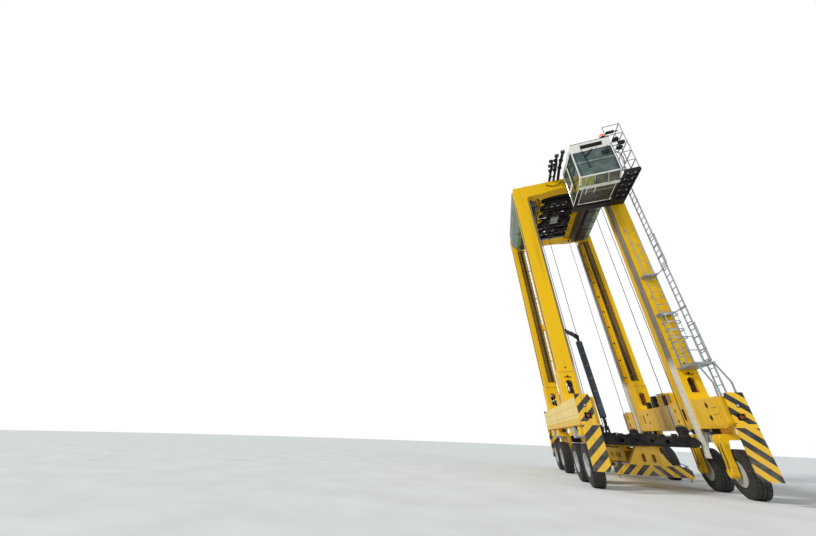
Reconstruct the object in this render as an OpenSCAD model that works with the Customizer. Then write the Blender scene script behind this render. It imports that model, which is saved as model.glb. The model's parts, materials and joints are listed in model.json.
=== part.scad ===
// Straddle carrier, one over three: eight steered wheels, four legs, a cable
// hoist and a telescopic container spreader. Millimetres, +Z up, the cab at -Y.

/* [Overall size] */
// Width over the side frames and the wheels
machine_w = 4900; // [4700:50:5300]
// Height of the top of the cross beams above the ground
frame_top = 15180; // [13000:100:16500]
// Distance between the front and rear leg centres
leg_pitch = 6000; // [5600:50:6600]
// Length of each side frame
sill_l = 10900; // [10700:50:11600]

/* [Legs and side frames] */
// Width of a side frame and of a leg foot, across the machine
sill_w = 640; // [560:10:700]
// Height of the underside of the side frames
sill_z = 2150; // [2050:10:2250]
// Height of the side frame box
sill_h = 1000; // [900:10:1100]
// Width of a leg above its collar
leg_w = 600; // [500:10:620]
// Depth of a leg at the top, along the machine
leg_d_top = 800; // [650:10:900]
// Depth of a leg at its foot
leg_d_foot = 1150; // [950:10:1250]
// Height of the collar where the leg foot ends
collar_z = 4450; // [4300:10:4700]
// Depth of the cross beams
beam_h = 740; // [600:10:850]
// Thickness of the yellow rail bar on the inner face of each leg
rail_bar_t = 70; // [50:5:90]

/* [Wheels] */
// Outer diameter of a tyre
tyre_d = 1500; // [1400:10:1560]
// Width of a tyre
tyre_w = 430; // [380:5:440]
// Distance between the two wheels of a pair
wheel_pitch = 2150; // [2050:10:2250]
// Distance from the machine's middle to the outer wheel
outer_wheel_y = 4300; // [4200:10:4350]
// Radius of the wheel spindle
spindle_r = 95; // [70:1:120]

/* [Cab] */
// Width of the cab
cab_w = 1700; // [1500:10:1800]
// Length of the cab
cab_l = 2150; // [1900:10:2300]
// Height of the cab
cab_h = 2250; // [2100:10:2350]
// Height of the cab floor's underside
cab_z = 12900; // [11500:10:13000]
// How far the cab's front stands before the legs
cab_reach = 2550; // [2400:10:2700]
// Sideways offset of the cab's middle
cab_x = 960; // [900:10:1000]

/* [Hoist and spreader] */
// Half the distance between the two cross beams of the headblock
head_y = 2950; // [2800:10:3000]
// Depth of the headblock's cross beams
head_h = 370; // [300:10:420]
// Height of the underside of the headblock when lowered
head_z = 1480; // [1440:10:1560]
// Travel of each telescopic end
spread_travel = 3067; // [2000:1:3067]

/* [Hidden] */
$fn = 48;
YELLOW = [0.95, 0.70, 0.05];
BLACK = [0.09, 0.09, 0.10];
GREY = [0.62, 0.65, 0.68];
PALE = [0.80, 0.79, 0.74];
WHITE = [0.90, 0.89, 0.84];
GALV = [0.60, 0.63, 0.65];
NAVY = [0.07, 0.08, 0.12];

slip = 0.3;
gap = 10;

// Length, width and corner fitting spacing of a standard 20 foot container
box_l = 6058;
box_w = 2438;
lock_inset_l = 102.5;
lock_inset_w = 89.5;
lock_l = box_l - 2 * lock_inset_l;
lock_w = box_w - 2 * lock_inset_w;

half_w = machine_w / 2;
sill_x = half_w - sill_w / 2;
sill_top = sill_z + sill_h;
inner_x = half_w - sill_w;
leg_in = half_w - (sill_w + leg_w) / 2;
beam_z = frame_top - beam_h;
leg_front = leg_pitch / 2 + leg_d_foot / 2 - 125;
guard_t = 60;
guard_gap = 90;
sill_reach = sill_l / 2 + guard_gap + guard_t;
cab_front = leg_front + cab_reach;
platform_over = 180;
front_reach = cab_front + platform_over;
y_mid = (front_reach - sill_reach) / 2;

tyre_r = tyre_d / 2;
wheel_x = half_w - 25 - tyre_w / 2;
wheel_ys = [-outer_wheel_y, -outer_wheel_y + wheel_pitch,
            outer_wheel_y - wheel_pitch, outer_wheel_y];

rail_w = 340;
rail_strip_w = 150;
rail_strip_t = 30;
rail_x = inner_x - rail_bar_t;
strip_x = rail_x - rail_strip_t;
rail_y = leg_front - rail_w / 2 - 40;
rail_low = 1150;
rail_lead = 80;

// A box given by its low and high corner
module span(lo, hi) {
    translate(lo) cube(hi - lo);
}

// A shape moved to the middle of the wheelbase
module placed() {
    translate([0, y_mid, 0]) children();
}

// The same shape on the right and, mirrored, on the left
module both_sides() {
    children();
    mirror([1, 0, 0]) children();
}

// The same shape at the front and, mirrored, at the rear
module both_ends() {
    children();
    mirror([0, 1, 0]) children();
}

// An outline in the YZ plane, extruded along X from x0 to x1
module along_x(x0, x1) {
    translate([x0, 0, 0]) rotate([90, 0, 90]) linear_extrude(x1 - x0) children();
}

// An outline in the XZ plane, extruded along Y from y0 to y1
module along_y(y0, y1) {
    translate([0, y1, 0]) rotate([90, 0, 0]) linear_extrude(y1 - y0) children();
}

// A rectangle with four round corners
module round_rect(lo, hi, r) {
    for (x = [lo[0] + r, hi[0] - r])
        for (y = [lo[1] + r, hi[1] - r])
            translate([x, y]) circle(r);
    translate([lo[0] + r, lo[1]]) square([hi[0] - lo[0] - 2 * r, hi[1] - lo[1]]);
    translate([lo[0], lo[1] + r]) square([hi[0] - lo[0], hi[1] - lo[1] - 2 * r]);
}

// The hollow curved piece that fills a square corner at the origin
module fillet_outline(r) {
    difference() {
        square(r);
        translate([r, r]) circle(r);
    }
}

// A straight tube of few sides from a to b
module pipe(a, b, r) {
    d = b - a;
    translate(a) rotate([0, acos(d[2] / norm(d)), atan2(d[1], d[0])]) cylinder(r = r, h = norm(d), $fn = 6);
}

// Tubes along a row of points
module pipe_run(points, r) {
    last = len(points) - 1;
    for (i = [1 : last]) {
        d = points[i] - points[i - 1];
        pipe(points[i - 1], points[i] + (i < last ? r / 2 : 0) * d / norm(d), r);
    }
}

// Side view of a bar along points of rising height, r to each side
module bent_outline(points, r) {
    last = len(points) - 1;
    polygon(concat(
        [for (p = points) [p[0] - r, p[1]]],
        [for (i = [0 : last]) [points[last - i][0] + r, points[last - i][1]]]
    ));
}

// A slot with round ends, upright, of width w and height h
module slot_outline(w, h) {
    hull_r = w / 2;
    square([w, h - w], center = true);
    translate([0, (h - w) / 2]) circle(hull_r);
    translate([0, -(h - w) / 2]) circle(hull_r);
}

// Side frames
kingpin_r = 90;
kingpin_house_r = 190;
kingpin_house_h = 170;
kingpin_bore_h = 420;
sill_round = 200;
sill_hole_r = 95;
sill_slot_w = 150;
sill_slot_h = 520;
cover_t = 20;
cover_l = 1150;
hole_depth = 130;
seam = 12;

module sill_outline() {
    round_rect([-sill_l / 2, sill_z], [sill_l / 2, sill_top], sill_round);
    translate([-sill_l / 2 + sill_round, sill_z + sill_h / 2]) square([sill_l - 2 * sill_round, sill_h / 2]);
    translate([-sill_l / 2, sill_z + sill_h / 2]) square([sill_l, sill_h / 2]);
}

// Seams between the outer cover plates, cut a seam's width deep
module sill_seams() {
    seam_z = [sill_z + sill_h * 0.35, sill_z + sill_h * 0.68];
    seam_y = [-sill_l / 2 + 900, -leg_front + 400, -900, 0, 900, leg_front - 400, sill_l / 2 - 900];
    for (z = seam_z)
        span([half_w - seam, -sill_l / 2 + 120, z], [half_w + 1, sill_l / 2 - 120, z + seam]);
    for (y = seam_y)
        span([half_w - seam, y, sill_z + 120], [half_w + 1, y + seam, sill_top - 120]);
}

module sill_right_shape() {
    hole_y = leg_front + 1150;
    slot_y = leg_front - leg_d_foot + 290;
    cover_y = sill_l / 2 - sill_round - cover_l;
    difference() {
        union() {
            along_x(inner_x, half_w) sill_outline();
            both_ends() along_x(inner_x - cover_t, inner_x + 1)
                round_rect([-cover_y - cover_l, sill_z + 60], [-cover_y, sill_top - 60], 60);
            for (y = wheel_ys)
                translate([wheel_x, y, sill_z - kingpin_house_h])
                    cylinder(r = kingpin_house_r, h = kingpin_house_h + 10);
        }
        for (s = [-1, 1]) {
            for (dz = [-210, 210])
                translate([inner_x - cover_t - 1, s * hole_y, sill_z + sill_h * 0.55 + dz])
                    rotate([0, 90, 0]) cylinder(r = sill_hole_r, h = hole_depth + cover_t);
            translate([0, s * slot_y, sill_z + sill_h * 0.5])
                along_x(inner_x - 1, inner_x + hole_depth) slot_outline(sill_slot_w, sill_slot_h);
        }
        for (y = wheel_ys)
            translate([wheel_x, y, sill_z - kingpin_house_h - 1])
                cylinder(r = kingpin_r + slip, h = kingpin_bore_h + 1);
        sill_seams();
    }
}

module sill_right() {
    color(YELLOW) placed() sill_right_shape();
}

module sill_left() {
    color(YELLOW) placed() mirror([1, 0, 0]) sill_right_shape();
}

// Legs
oval_w = 260;
oval_h = 700;
oval_z = 3720;

module leg_outline(foot_d, top_d, z0, z1) {
    polygon([
        [-leg_front, z0], [-leg_front + foot_d, z0],
        [-leg_front + top_d, z1], [-leg_front, z1]
    ]);
}

function leg_depth(z) = leg_d_foot + (leg_d_top - leg_d_foot) * (z - sill_top) / (beam_z - sill_top);

foot_fillet = 350;
flange_out = 25;
flange_t = 40;
port_w = 300;
port_h = 90;
port_z = 4180;

module leg_front_right_shape() {
    foot_d = leg_depth(sill_top);
    flange_d = leg_depth(collar_z);
    difference() {
        union() {
            along_x(inner_x, half_w)
                leg_outline(foot_d, leg_depth(collar_z), sill_top, collar_z);
            along_x(leg_in, half_w - (sill_w - leg_w) / 2)
                leg_outline(leg_depth(collar_z), leg_depth(beam_z), collar_z, beam_z);
            along_x(inner_x, half_w) {
                translate([-leg_front, sill_top]) mirror([1, 0]) fillet_outline(foot_fillet);
                translate([-leg_front + leg_depth(sill_top + foot_fillet), sill_top])
                    fillet_outline(foot_fillet);
            }
            span([inner_x, -leg_front - flange_out, collar_z - flange_t / 2],
                 [half_w, -leg_front + flange_d + flange_out, collar_z + flange_t / 2]);
        }
        translate([sill_x, 0, oval_z])
            along_y(-leg_front - 1, -leg_front + leg_d_foot + 1) slot_outline(oval_w, oval_h);
        translate([sill_x, 0, port_z])
            along_y(-leg_front - 1, -leg_front + 80)
                round_rect([-port_w / 2, -port_h / 2], [port_w / 2, port_h / 2], port_h / 2 - 1);
    }
}

module leg_front_right() {
    color(YELLOW) placed() leg_front_right_shape();
}

module leg_front_left() {
    color(YELLOW) placed() mirror([1, 0, 0]) leg_front_right_shape();
}

module leg_rear_right() {
    color(YELLOW) placed() mirror([0, 1, 0]) leg_front_right_shape();
}

module leg_rear_left() {
    color(YELLOW) placed() mirror([0, 1, 0]) mirror([1, 0, 0]) leg_front_right_shape();
}

// Cross beams and girders at the top
beam_d = 620;
arch_rise = 110;

// Cross beam seen from the front, with round haunches at the legs and an arched middle
module beam_outline() {
    haunch = leg_in - (sheave_x + sheave_r + 2 * rope_r + gap);
    arch_x = girder_x - girder_w / 2 - 60;
    arch_r = (arch_x * arch_x + arch_rise * arch_rise) / (2 * arch_rise);
    difference() {
        union() {
            translate([-half_w, beam_z]) square([2 * half_w, beam_h]);
            both_sides() translate([leg_in, beam_z]) mirror([1, 0]) mirror([0, 1]) fillet_outline(haunch);
        }
        translate([0, beam_z + arch_rise - arch_r]) circle(arch_r, $fn = 360);
    }
}

module beam_front_shape() {
    along_y(-leg_front, -leg_front + beam_d) beam_outline();
}

module beam_front() {
    color(YELLOW) placed() beam_front_shape();
}

module beam_rear() {
    color(YELLOW) placed() mirror([0, 1, 0]) beam_front_shape();
}

girder_x = 1150;
girder_w = 220;
girder_h = 480;
girder_flange = 40;
girder_z = frame_top - 60 - girder_h;
girder_y = leg_front - beam_d;

// The two girders are box sections with wider top and bottom flanges towards the middle
module girders() {
    color(YELLOW) placed() both_sides() {
        span([girder_x - girder_w / 2 + girder_flange, -girder_y, girder_z],
             [girder_x + girder_w / 2, girder_y, girder_z + girder_h]);
        for (z = [girder_z, girder_z + girder_h - girder_flange])
            span([girder_x - girder_w / 2, -girder_y, z],
                 [girder_x - girder_w / 2 + girder_flange + 1, girder_y, z + girder_flange]);
    }
}

// Side houses between the legs
house_top = frame_top + 320;
house_low = frame_top - 1080;
house_lip = frame_top - 630;
house_in = girder_x + girder_w / 2;
house_y = leg_front - leg_depth(house_low) - gap;
house_round = 90;
door_pitch = 880;
louvre_h = 40;

module house_outline() {
    difference() {
        polygon([
            [house_in, house_low], [half_w - 250, house_low], [half_w, house_lip],
            [half_w, house_top], [house_in + 120, house_top], [house_in, house_top - 120]
        ]);
        translate([half_w, house_top]) mirror([1, 0]) mirror([0, 1]) fillet_outline(house_round);
    }
}

// Door seams on the outer face, and rows of louvres in every second door
module house_cuts() {
    seams = floor(house_y / door_pitch);
    for (i = [-seams : seams])
        span([half_w - seam, i * door_pitch - seam / 2, house_lip + 60],
             [half_w + 1, i * door_pitch + seam / 2, house_top - house_round - 20]);
    span([half_w - seam, -house_y - 1, house_lip + 60], [half_w + 1, house_y + 1, house_lip + 60 + seam]);
    for (i = [-seams : 2 : seams - 1])
        for (k = [0 : 4])
            span([half_w - 2 * seam, (i + 0.2) * door_pitch, house_lip + 180 + 2 * k * louvre_h],
                 [half_w + 1, (i + 0.8) * door_pitch, house_lip + 180 + (2 * k + 1) * louvre_h]);
}

module house_right_shape() {
    difference() {
        along_y(-house_y, house_y) house_outline();
        house_cuts();
    }
}

module side_house_right() {
    color(GREY) placed() house_right_shape();
}

module side_house_left() {
    color(GREY) placed() mirror([1, 0, 0]) house_right_shape();
}

// Machinery deck between the girders, an open frame that carries the hoist drums
deck_t = 160;
deck_z = girder_z;
deck_x = girder_x - girder_w / 2;
deck_bar = 110;
drum_r = 330;
drum_y = 1100;
drum_z = deck_z + deck_t + drum_r - 40;
drum_l = 1500;
drum_pin_r = 60;
bearing_t = 90;
bearing_top = 140;
foot_d = 0.7 * drum_r;
gearbox_x = 300;
gearbox_y = 430;
motor_r = 170;

// Bearing plate of a drum, seen from the side
module bearing_outline() {
    polygon([
        [-foot_d, deck_z + deck_t - 1], [foot_d, deck_z + deck_t - 1],
        [bearing_top, drum_z], [-bearing_top, drum_z]
    ]);
    translate([0, drum_z]) circle(bearing_top);
}

module deck_frame() {
    bar_ys = [0, gearbox_y, drum_y - foot_d, drum_y + foot_d, 2 * drum_y - 250, 2 * drum_y + 250];
    both_sides() span([deck_x - deck_bar, -girder_y, deck_z], [deck_x, girder_y, deck_z + deck_t]);
    both_ends() for (y = bar_ys)
        span([-deck_x, y - deck_bar / 2, deck_z], [deck_x, y + deck_bar / 2, deck_z + deck_t]);
    both_ends() span([-deck_x, 2 * drum_y - 250, deck_z + deck_t - 20],
                     [deck_x, 2 * drum_y + 250, deck_z + deck_t]);
}

// Gearbox in the middle with a motor on each side
module hoist_drive() {
    lid_z = drum_z + 60;
    along_x(-gearbox_x, gearbox_x)
        round_rect([-gearbox_y, deck_z + deck_t - 1], [gearbox_y, lid_z], 120);
    for (x = [-1, 1])
        translate([x * gearbox_x, x * gearbox_y / 2, drum_z - 60]) rotate([0, x * 90, 0])
            cylinder(r = motor_r, h = deck_x - gearbox_x - deck_bar);
}

module machinery_deck() {
    bearing_x = drum_l / 2 + gap + bearing_t / 2;
    color(BLACK) placed() difference() {
        union() {
            deck_frame();
            hoist_drive();
            both_ends() both_sides() translate([0, -drum_y, 0])
                along_x(bearing_x - bearing_t / 2, bearing_x + bearing_t / 2) bearing_outline();
        }
        for (s = [-1, 1])
            translate([-deck_x - 1, s * drum_y, drum_z]) rotate([0, 90, 0])
                cylinder(r = drum_pin_r + slip, h = 2 * deck_x + 2);
    }
}

drum_flange_t = 40;
drum_barrel_r = drum_r - 60;
brake_r = drum_r - 20;

// Drum with its end flanges, a brake disc and the axle, as one revolve
module drum() {
    end = drum_l / 2;
    pin_end = end + gap + bearing_t + gap;
    translate([0, -drum_y, drum_z]) rotate([0, 90, 0]) rotate_extrude() polygon([
        [0, -pin_end], [drum_pin_r, -pin_end], [drum_pin_r, -end], [drum_r, -end],
        [drum_r, -end + drum_flange_t], [drum_barrel_r, -end + drum_flange_t + 30],
        [drum_barrel_r, end - 4 * drum_flange_t - 30], [drum_r, end - 4 * drum_flange_t],
        [drum_r, end - 3 * drum_flange_t], [drum_barrel_r, end - 3 * drum_flange_t],
        [drum_barrel_r, end - drum_flange_t], [brake_r, end - drum_flange_t], [brake_r, end],
        [drum_pin_r, end], [drum_pin_r, pin_end], [0, pin_end]
    ]);
}

module hoist_drum_front() {
    color(GREY) placed() drum();
}

module hoist_drum_rear() {
    color(GREY) placed() mirror([0, 1, 0]) drum();
}

// Guide rails on the inner faces of the legs, from below the side frames to the beams
rail_top = beam_z - 320;
rail_fin = 190;
rail_fin_t = 120;

module guide_rail() {
    step_z = collar_z + flange_t / 2 + slip;
    along_y(-rail_y - rail_w / 2, -rail_y + rail_w / 2)
        polygon([
            [rail_x, rail_low], [inner_x, rail_low], [inner_x, step_z], [leg_in, step_z],
            [leg_in, rail_top], [rail_x, rail_top]
        ]);
    along_y(-rail_y - rail_strip_w / 2, -rail_y + rail_strip_w / 2)
        polygon([
            [rail_x + 1, rail_low], [rail_x + 1, rail_top], [rail_x, rail_top],
            [strip_x, rail_top - rail_lead], [strip_x, rail_low + rail_lead], [rail_x, rail_low]
        ]);
    along_y(-rail_y - rail_fin_t / 2, -rail_y + rail_fin_t / 2)
        polygon([
            [inner_x - 1, rail_low + rail_lead], [inner_x, rail_low + rail_lead],
            [inner_x + rail_fin, sill_z - 200], [inner_x + rail_fin, sill_z], [inner_x - 1, sill_z]
        ]);
}

module guide_rails() {
    color(PALE) placed() both_ends() both_sides() guide_rail();
}

// Drive units on top of the side frames
unit_w = 420;

module drive_units() {
    cabinet_y = -leg_front + leg_d_foot + foot_fillet + 300;
    cabinet_l = 520;
    gear_y = cabinet_y + cabinet_l + 150;
    gear_l = 900;
    gear_h = 430;
    motor_y = gear_y + gear_l;
    motor_l = 800;
    tank_y = motor_y + motor_l + 300;
    tank_r = 130;
    tank_h = 480;
    color(YELLOW) placed() both_sides() {
        along_x(sill_x - unit_w / 2, sill_x + unit_w / 2) {
            polygon([
                [cabinet_y, sill_top], [cabinet_y + cabinet_l, sill_top],
                [cabinet_y + cabinet_l, sill_top + 520], [cabinet_y + 150, sill_top + 520],
                [cabinet_y, sill_top + 400]
            ]);
            translate([gear_y, sill_top]) square([gear_l, gear_h / 2]);
            round_rect([gear_y, sill_top], [gear_y + gear_l, sill_top + gear_h], 120);
            translate([gear_y + gear_l * 0.35, sill_top + gear_h - 60]) circle(unit_w / 2);
        }
        translate([sill_x, motor_y - 1, sill_top + unit_w / 2]) rotate([-90, 0, 0])
            rotate_extrude() polygon([
                [0, 0], [unit_w / 2, 0], [unit_w / 2, 80], [unit_w / 2 - 30, 110],
                [unit_w / 2 - 30, motor_l - 160], [unit_w / 2 - 70, motor_l], [0, motor_l]
            ]);
        for (y = [motor_y + 150, motor_y + motor_l - 250])
            span([sill_x - unit_w * 0.4, y, sill_top], [sill_x + unit_w * 0.4, y + 90, sill_top + 120]);
        translate([sill_x, tank_y, sill_top]) cylinder(r = tank_r, h = tank_h);
        translate([sill_x, tank_y, sill_top + tank_h]) cylinder(r = tank_r * 0.6, h = 70);
    }
}

// Control boxes hung under the side frames
module sill_boxes() {
    box_y = -outer_wheel_y + wheel_pitch / 2;
    box_x = inner_x + rail_fin + gap;
    color(GREY) placed() both_ends() both_sides()
        along_x(box_x, half_w - 40) {
            round_rect([box_y - 240, sill_z - 460], [box_y + 240, sill_z - 60], 50);
            translate([box_y - 200, sill_z - 120]) square([400, 120]);
        }
}

// Striped guard plates at the four corners, hung from the side frame's end
guard_low = 620;
guard_split = 2180;
guard_w = 560;
guard_step = 60;
guard_top = sill_top + 100;
lamp_hole_r = 60;

module guard_outline() {
    x0 = half_w - guard_w;
    difference() {
        polygon([
            [x0, guard_low + 140], [x0 + 100, guard_low], [half_w, guard_low],
            [half_w, guard_top], [x0 + 2 * guard_step, guard_top],
            [x0 + guard_step, guard_top - 120], [x0 + guard_step, guard_split], [x0, guard_split]
        ]);
        translate([sill_x + 60, guard_split + 640]) circle(lamp_hole_r);
        round_rect([sill_x - 90, guard_split + 180], [sill_x + 150, guard_split + 400], 30);
    }
}

module guards() {
    rib_t = 20;
    rib_top = sill_top - 400;
    color(YELLOW) placed() both_ends() both_sides() {
        along_y(-sill_reach, -sill_reach + guard_t) guard_outline();
        for (x = [half_w - guard_w + guard_step + rib_t, half_w - 4 * rib_t])
            along_x(x, x + rib_t) polygon([
                [-sill_reach + guard_t - 1, guard_low + 200], [-sill_l / 2, sill_z + sill_h / 2],
                [-sill_l / 2, rib_top], [-sill_reach + guard_t - 1, rib_top]
            ]);
    }
}

// Operator's cab: a sloping chin and visor, glass all round and in the floor
wall = 60;
glass_t = 20;
cab_x0 = cab_x - cab_w / 2;
cab_x1 = cab_x + cab_w / 2;
cab_y0 = -cab_front;
cab_y1 = -cab_front + cab_l;
cab_top = cab_z + cab_h;
chin_l = 520;
chin_h = 260;
visor_l = 260;
visor_h = 230;
pillar = 100;
frame_edge = 40;
roof_round = 120;

// Side view of the cab, drawn in by a wall's thickness
module cab_outline(t) {
    slope = norm([chin_l, chin_h]);
    low = t * (slope - chin_h) / chin_l;
    front = t * (slope - chin_l) / chin_h;
    difference() {
        polygon([
            [cab_y0 + t, cab_z + chin_h + front], [cab_y0 + chin_l + low, cab_z + t],
            [cab_y1 - t, cab_z + t], [cab_y1 - t, cab_top - t],
            [cab_y0 + visor_l + t / 2, cab_top - t], [cab_y0 + t, cab_top - visor_h - t / 2]
        ]);
        if (t == 0)
            translate([cab_y1, cab_top]) mirror([1, 0]) mirror([0, 1]) fillet_outline(roof_round);
    }
}

// A pane's outline in side view along a sloping edge, from a to b, between two depths
module slope_pane(a, b, near, far, end) {
    along = (b - a) / norm(b - a);
    inward = [-along[1], along[0]];
    polygon([
        a + along * end + inward * near, b - along * end + inward * near,
        b - along * end + inward * far, a + along * end + inward * far
    ]);
}

module chin_pane(near, far, end) {
    slope_pane([cab_y0 + chin_l, cab_z], [cab_y0, cab_z + chin_h], -far, -near, end);
}

module visor_pane(near, far, end) {
    slope_pane([cab_y0, cab_top - visor_h], [cab_y0 + visor_l, cab_top], -far, -near, end);
}

// Side windows: the front one follows the chin, the rear one is in the door
module side_pane_outline() {
    polygon([
        [cab_y0 + pillar, cab_z + chin_h + pillar], [cab_y0 + chin_l + pillar / 2, cab_z + pillar],
        [cab_y0 + 1150, cab_z + pillar], [cab_y0 + 1150, cab_top - visor_h - frame_edge],
        [cab_y0 + pillar, cab_top - visor_h - frame_edge]
    ]);
    round_rect([cab_y0 + 1290, cab_z + 900], [cab_y1 - 160, cab_top - visor_h - frame_edge], 60);
}

windscreen_low = cab_z + chin_h + frame_edge;
windscreen_top = cab_top - visor_h - frame_edge;
floor_pane_y = cab_y0 + chin_l + pillar;
floor_pane_l = 400;

module cab_shell() {
    color(WHITE) placed() difference() {
        along_x(cab_x0, cab_x1) cab_outline(0);
        along_x(cab_x0 + wall, cab_x1 - wall) cab_outline(wall);
        span([cab_x0 + pillar, cab_y0 - 1, windscreen_low],
             [cab_x1 - pillar, cab_y0 + wall + 1, windscreen_top]);
        along_x(cab_x0 + pillar, cab_x1 - pillar) {
            chin_pane(-20, wall + 20, wall);
            visor_pane(-20, wall + 20, wall - 10);
        }
        for (x = [cab_x0 - 1, cab_x1 - wall - 1]) along_x(x, x + wall + 2) side_pane_outline();
        span([cab_x0 + 2 * pillar, cab_y1 - wall - 1, cab_z + 1100],
             [cab_x1 - 2 * pillar, cab_y1 + 1, windscreen_top]);
        span([cab_x0 + 2 * pillar, floor_pane_y, cab_z - 1],
             [cab_x1 - 2 * pillar, floor_pane_y + floor_pane_l, cab_z + wall + 1]);
    }
}

module cab_glass() {
    inset = 20;
    color([0.35, 0.5, 0.45]) placed() {
        span([cab_x0 + pillar, cab_y0 + inset, windscreen_low],
             [cab_x1 - pillar, cab_y0 + inset + glass_t, windscreen_top]);
        along_x(cab_x0 + pillar, cab_x1 - pillar) {
            chin_pane(inset, inset + glass_t, wall + slip);
            visor_pane(inset, inset + glass_t, wall - 10 + slip);
        }
        for (x = [cab_x0 + inset, cab_x1 - inset - glass_t]) along_x(x, x + glass_t) side_pane_outline();
        span([cab_x0 + 2 * pillar, cab_y1 - inset - glass_t, cab_z + 1100],
             [cab_x1 - 2 * pillar, cab_y1 - inset, windscreen_top]);
        span([cab_x0 + 2 * pillar, floor_pane_y, cab_z + inset],
             [cab_x1 - 2 * pillar, floor_pane_y + floor_pane_l, cab_z + inset + glass_t]);
    }
}

seat_y = cab_y0 + 1250;
seat_h = 460;
seat_w = 520;
console_x = 330;
console_w = 230;

module cab_seat() {
    color(BLACK) placed() translate([cab_x, seat_y, cab_z + wall]) {
        cylinder(r = 150, h = 40);
        cylinder(r = 70, h = seat_h - 110);
        along_x(-seat_w / 2, seat_w / 2) {
            round_rect([-260, seat_h - 120], [260, seat_h], 50);
            round_rect([190, seat_h - 60], [320, seat_h + 720], 50);
        }
        both_sides() {
            along_x(console_x, console_x + console_w)
                round_rect([-300, seat_h - 40], [160, seat_h + 180], 60);
            translate([console_x + console_w / 2, -60, 0]) cylinder(r = 45, h = seat_h - 39);
            span([seat_w / 2 - 1, -100, seat_h - 120], [console_x + 1, 0, seat_h - 60]);
            translate([console_x + console_w / 2, -210, seat_h + 179]) cylinder(r = 25, h = 120);
        }
    }
}

// Platform that carries the cab, and the braced walkway along its right side
platform_x = half_w - 60;
platform_t = 100;
bridge_l = 450;
walk_x = cab_x1 + gap;
walk_t = 160;
walk_edge = 60;
walk_bays = 5;
post_w = 120;

// Open floor with crossed bars in each bay
module braced_floor(lo, hi, bays) {
    step = (hi[1] - lo[1] - walk_edge) / bays;
    wide = hi[0] - lo[0] - walk_edge;
    bar = norm([wide, step]) / 2;
    depth = hi[2] - lo[2];
    for (x = [lo[0], hi[0] - walk_edge]) span([x, lo[1], lo[2]], [x + walk_edge, hi[1], hi[2]]);
    for (i = [0 : bays])
        span([lo[0], lo[1] + i * step, lo[2]], [hi[0], lo[1] + i * step + walk_edge, hi[2]]);
    for (i = [0 : bays - 1])
        for (s = [-1, 1])
            translate([(lo[0] + hi[0]) / 2, lo[1] + walk_edge / 2 + (i + 0.5) * step, lo[2] + depth * 0.3])
                rotate([0, 0, s * atan2(wide, step)]) span([-22, -bar, 0], [22, bar, depth * 0.4]);
}

module cab_platform() {
    floor_z = cab_z - platform_t;
    color(BLACK) placed() {
        span([cab_x0, -leg_front - bridge_l, floor_z], [platform_x, -leg_front - slip, cab_z]);
        braced_floor([walk_x, -front_reach, cab_z - walk_t + walk_edge],
                     [platform_x, -leg_front - bridge_l + 1, cab_z + walk_edge], walk_bays);
        for (x = [cab_x0, cab_x1 - pillar])
            along_x(x, x + pillar) polygon([
                [cab_y0 + 1000, cab_z - slip], [-leg_front - bridge_l + 1, floor_z],
                [-leg_front - bridge_l + 1, cab_z - slip]
            ]);
        for (x = [cab_x0 + pillar, platform_x - 200])
            along_x(x, x + post_w) polygon([
                [cab_y1 + slip, cab_z - 1], [-leg_front - slip, cab_z - 1],
                [-leg_front - slip, frame_top - 60], [-leg_front - post_w, frame_top - 60],
                [-leg_front - post_w, cab_z + 700]
            ]);
    }
}

rail_r = 22;
rail_top_h = 2900;
rail_hs = [550, 1100, 1700, 2300, rail_top_h];

// Railing of the walkway, with a zigzag between its two upper rails and a loop at the front
module platform_rails() {
    x = platform_x - walk_edge / 2;
    z0 = cab_z + walk_edge;
    y0 = -front_reach + walk_edge / 2;
    y1 = -leg_front - 60;
    bays = 4;
    step = (y1 - y0) / bays;
    loop_x = cab_x1 - 140;
    color(GALV) placed() {
        for (i = [0 : bays]) {
            foot = i < bays ? z0 : z0 - walk_edge;
            pipe([x, y0 + i * step, foot], [x, y0 + i * step, cab_z + rail_top_h + rail_r], rail_r);
        }
        for (h = rail_hs) pipe([x, y0 - rail_r, cab_z + h], [x, y1 + rail_r, cab_z + h], rail_r);
        for (i = [0 : bays - 1])
            pipe([x, y0 + i * step, cab_z + rail_hs[3]],
                 [x, y0 + (i + 1) * step, cab_z + rail_hs[4]], rail_r * 0.7);
        for (h = [rail_hs[0], rail_hs[1]])
            pipe([walk_x + walk_edge, y0, cab_z + h], [x, y0, cab_z + h], rail_r);
        pipe([walk_x + walk_edge, y0, z0], [walk_x + walk_edge, y0, cab_z + rail_hs[1] + rail_r], rail_r);
        pipe_run([
            [x, y0, cab_z + rail_hs[4]], [loop_x, y0, cab_z + rail_hs[4]],
            [loop_x, y0, cab_z + rail_hs[3]], [x, y0, cab_z + rail_hs[3]]
        ], rail_r);
    }
}

// Dark forked arms beside the cab, with floodlights
arm_x = -350;
arm_half = 110;
lamp_arm_t = 80;
lamp_arm_l = 1300;
lamp_r = 90;

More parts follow.
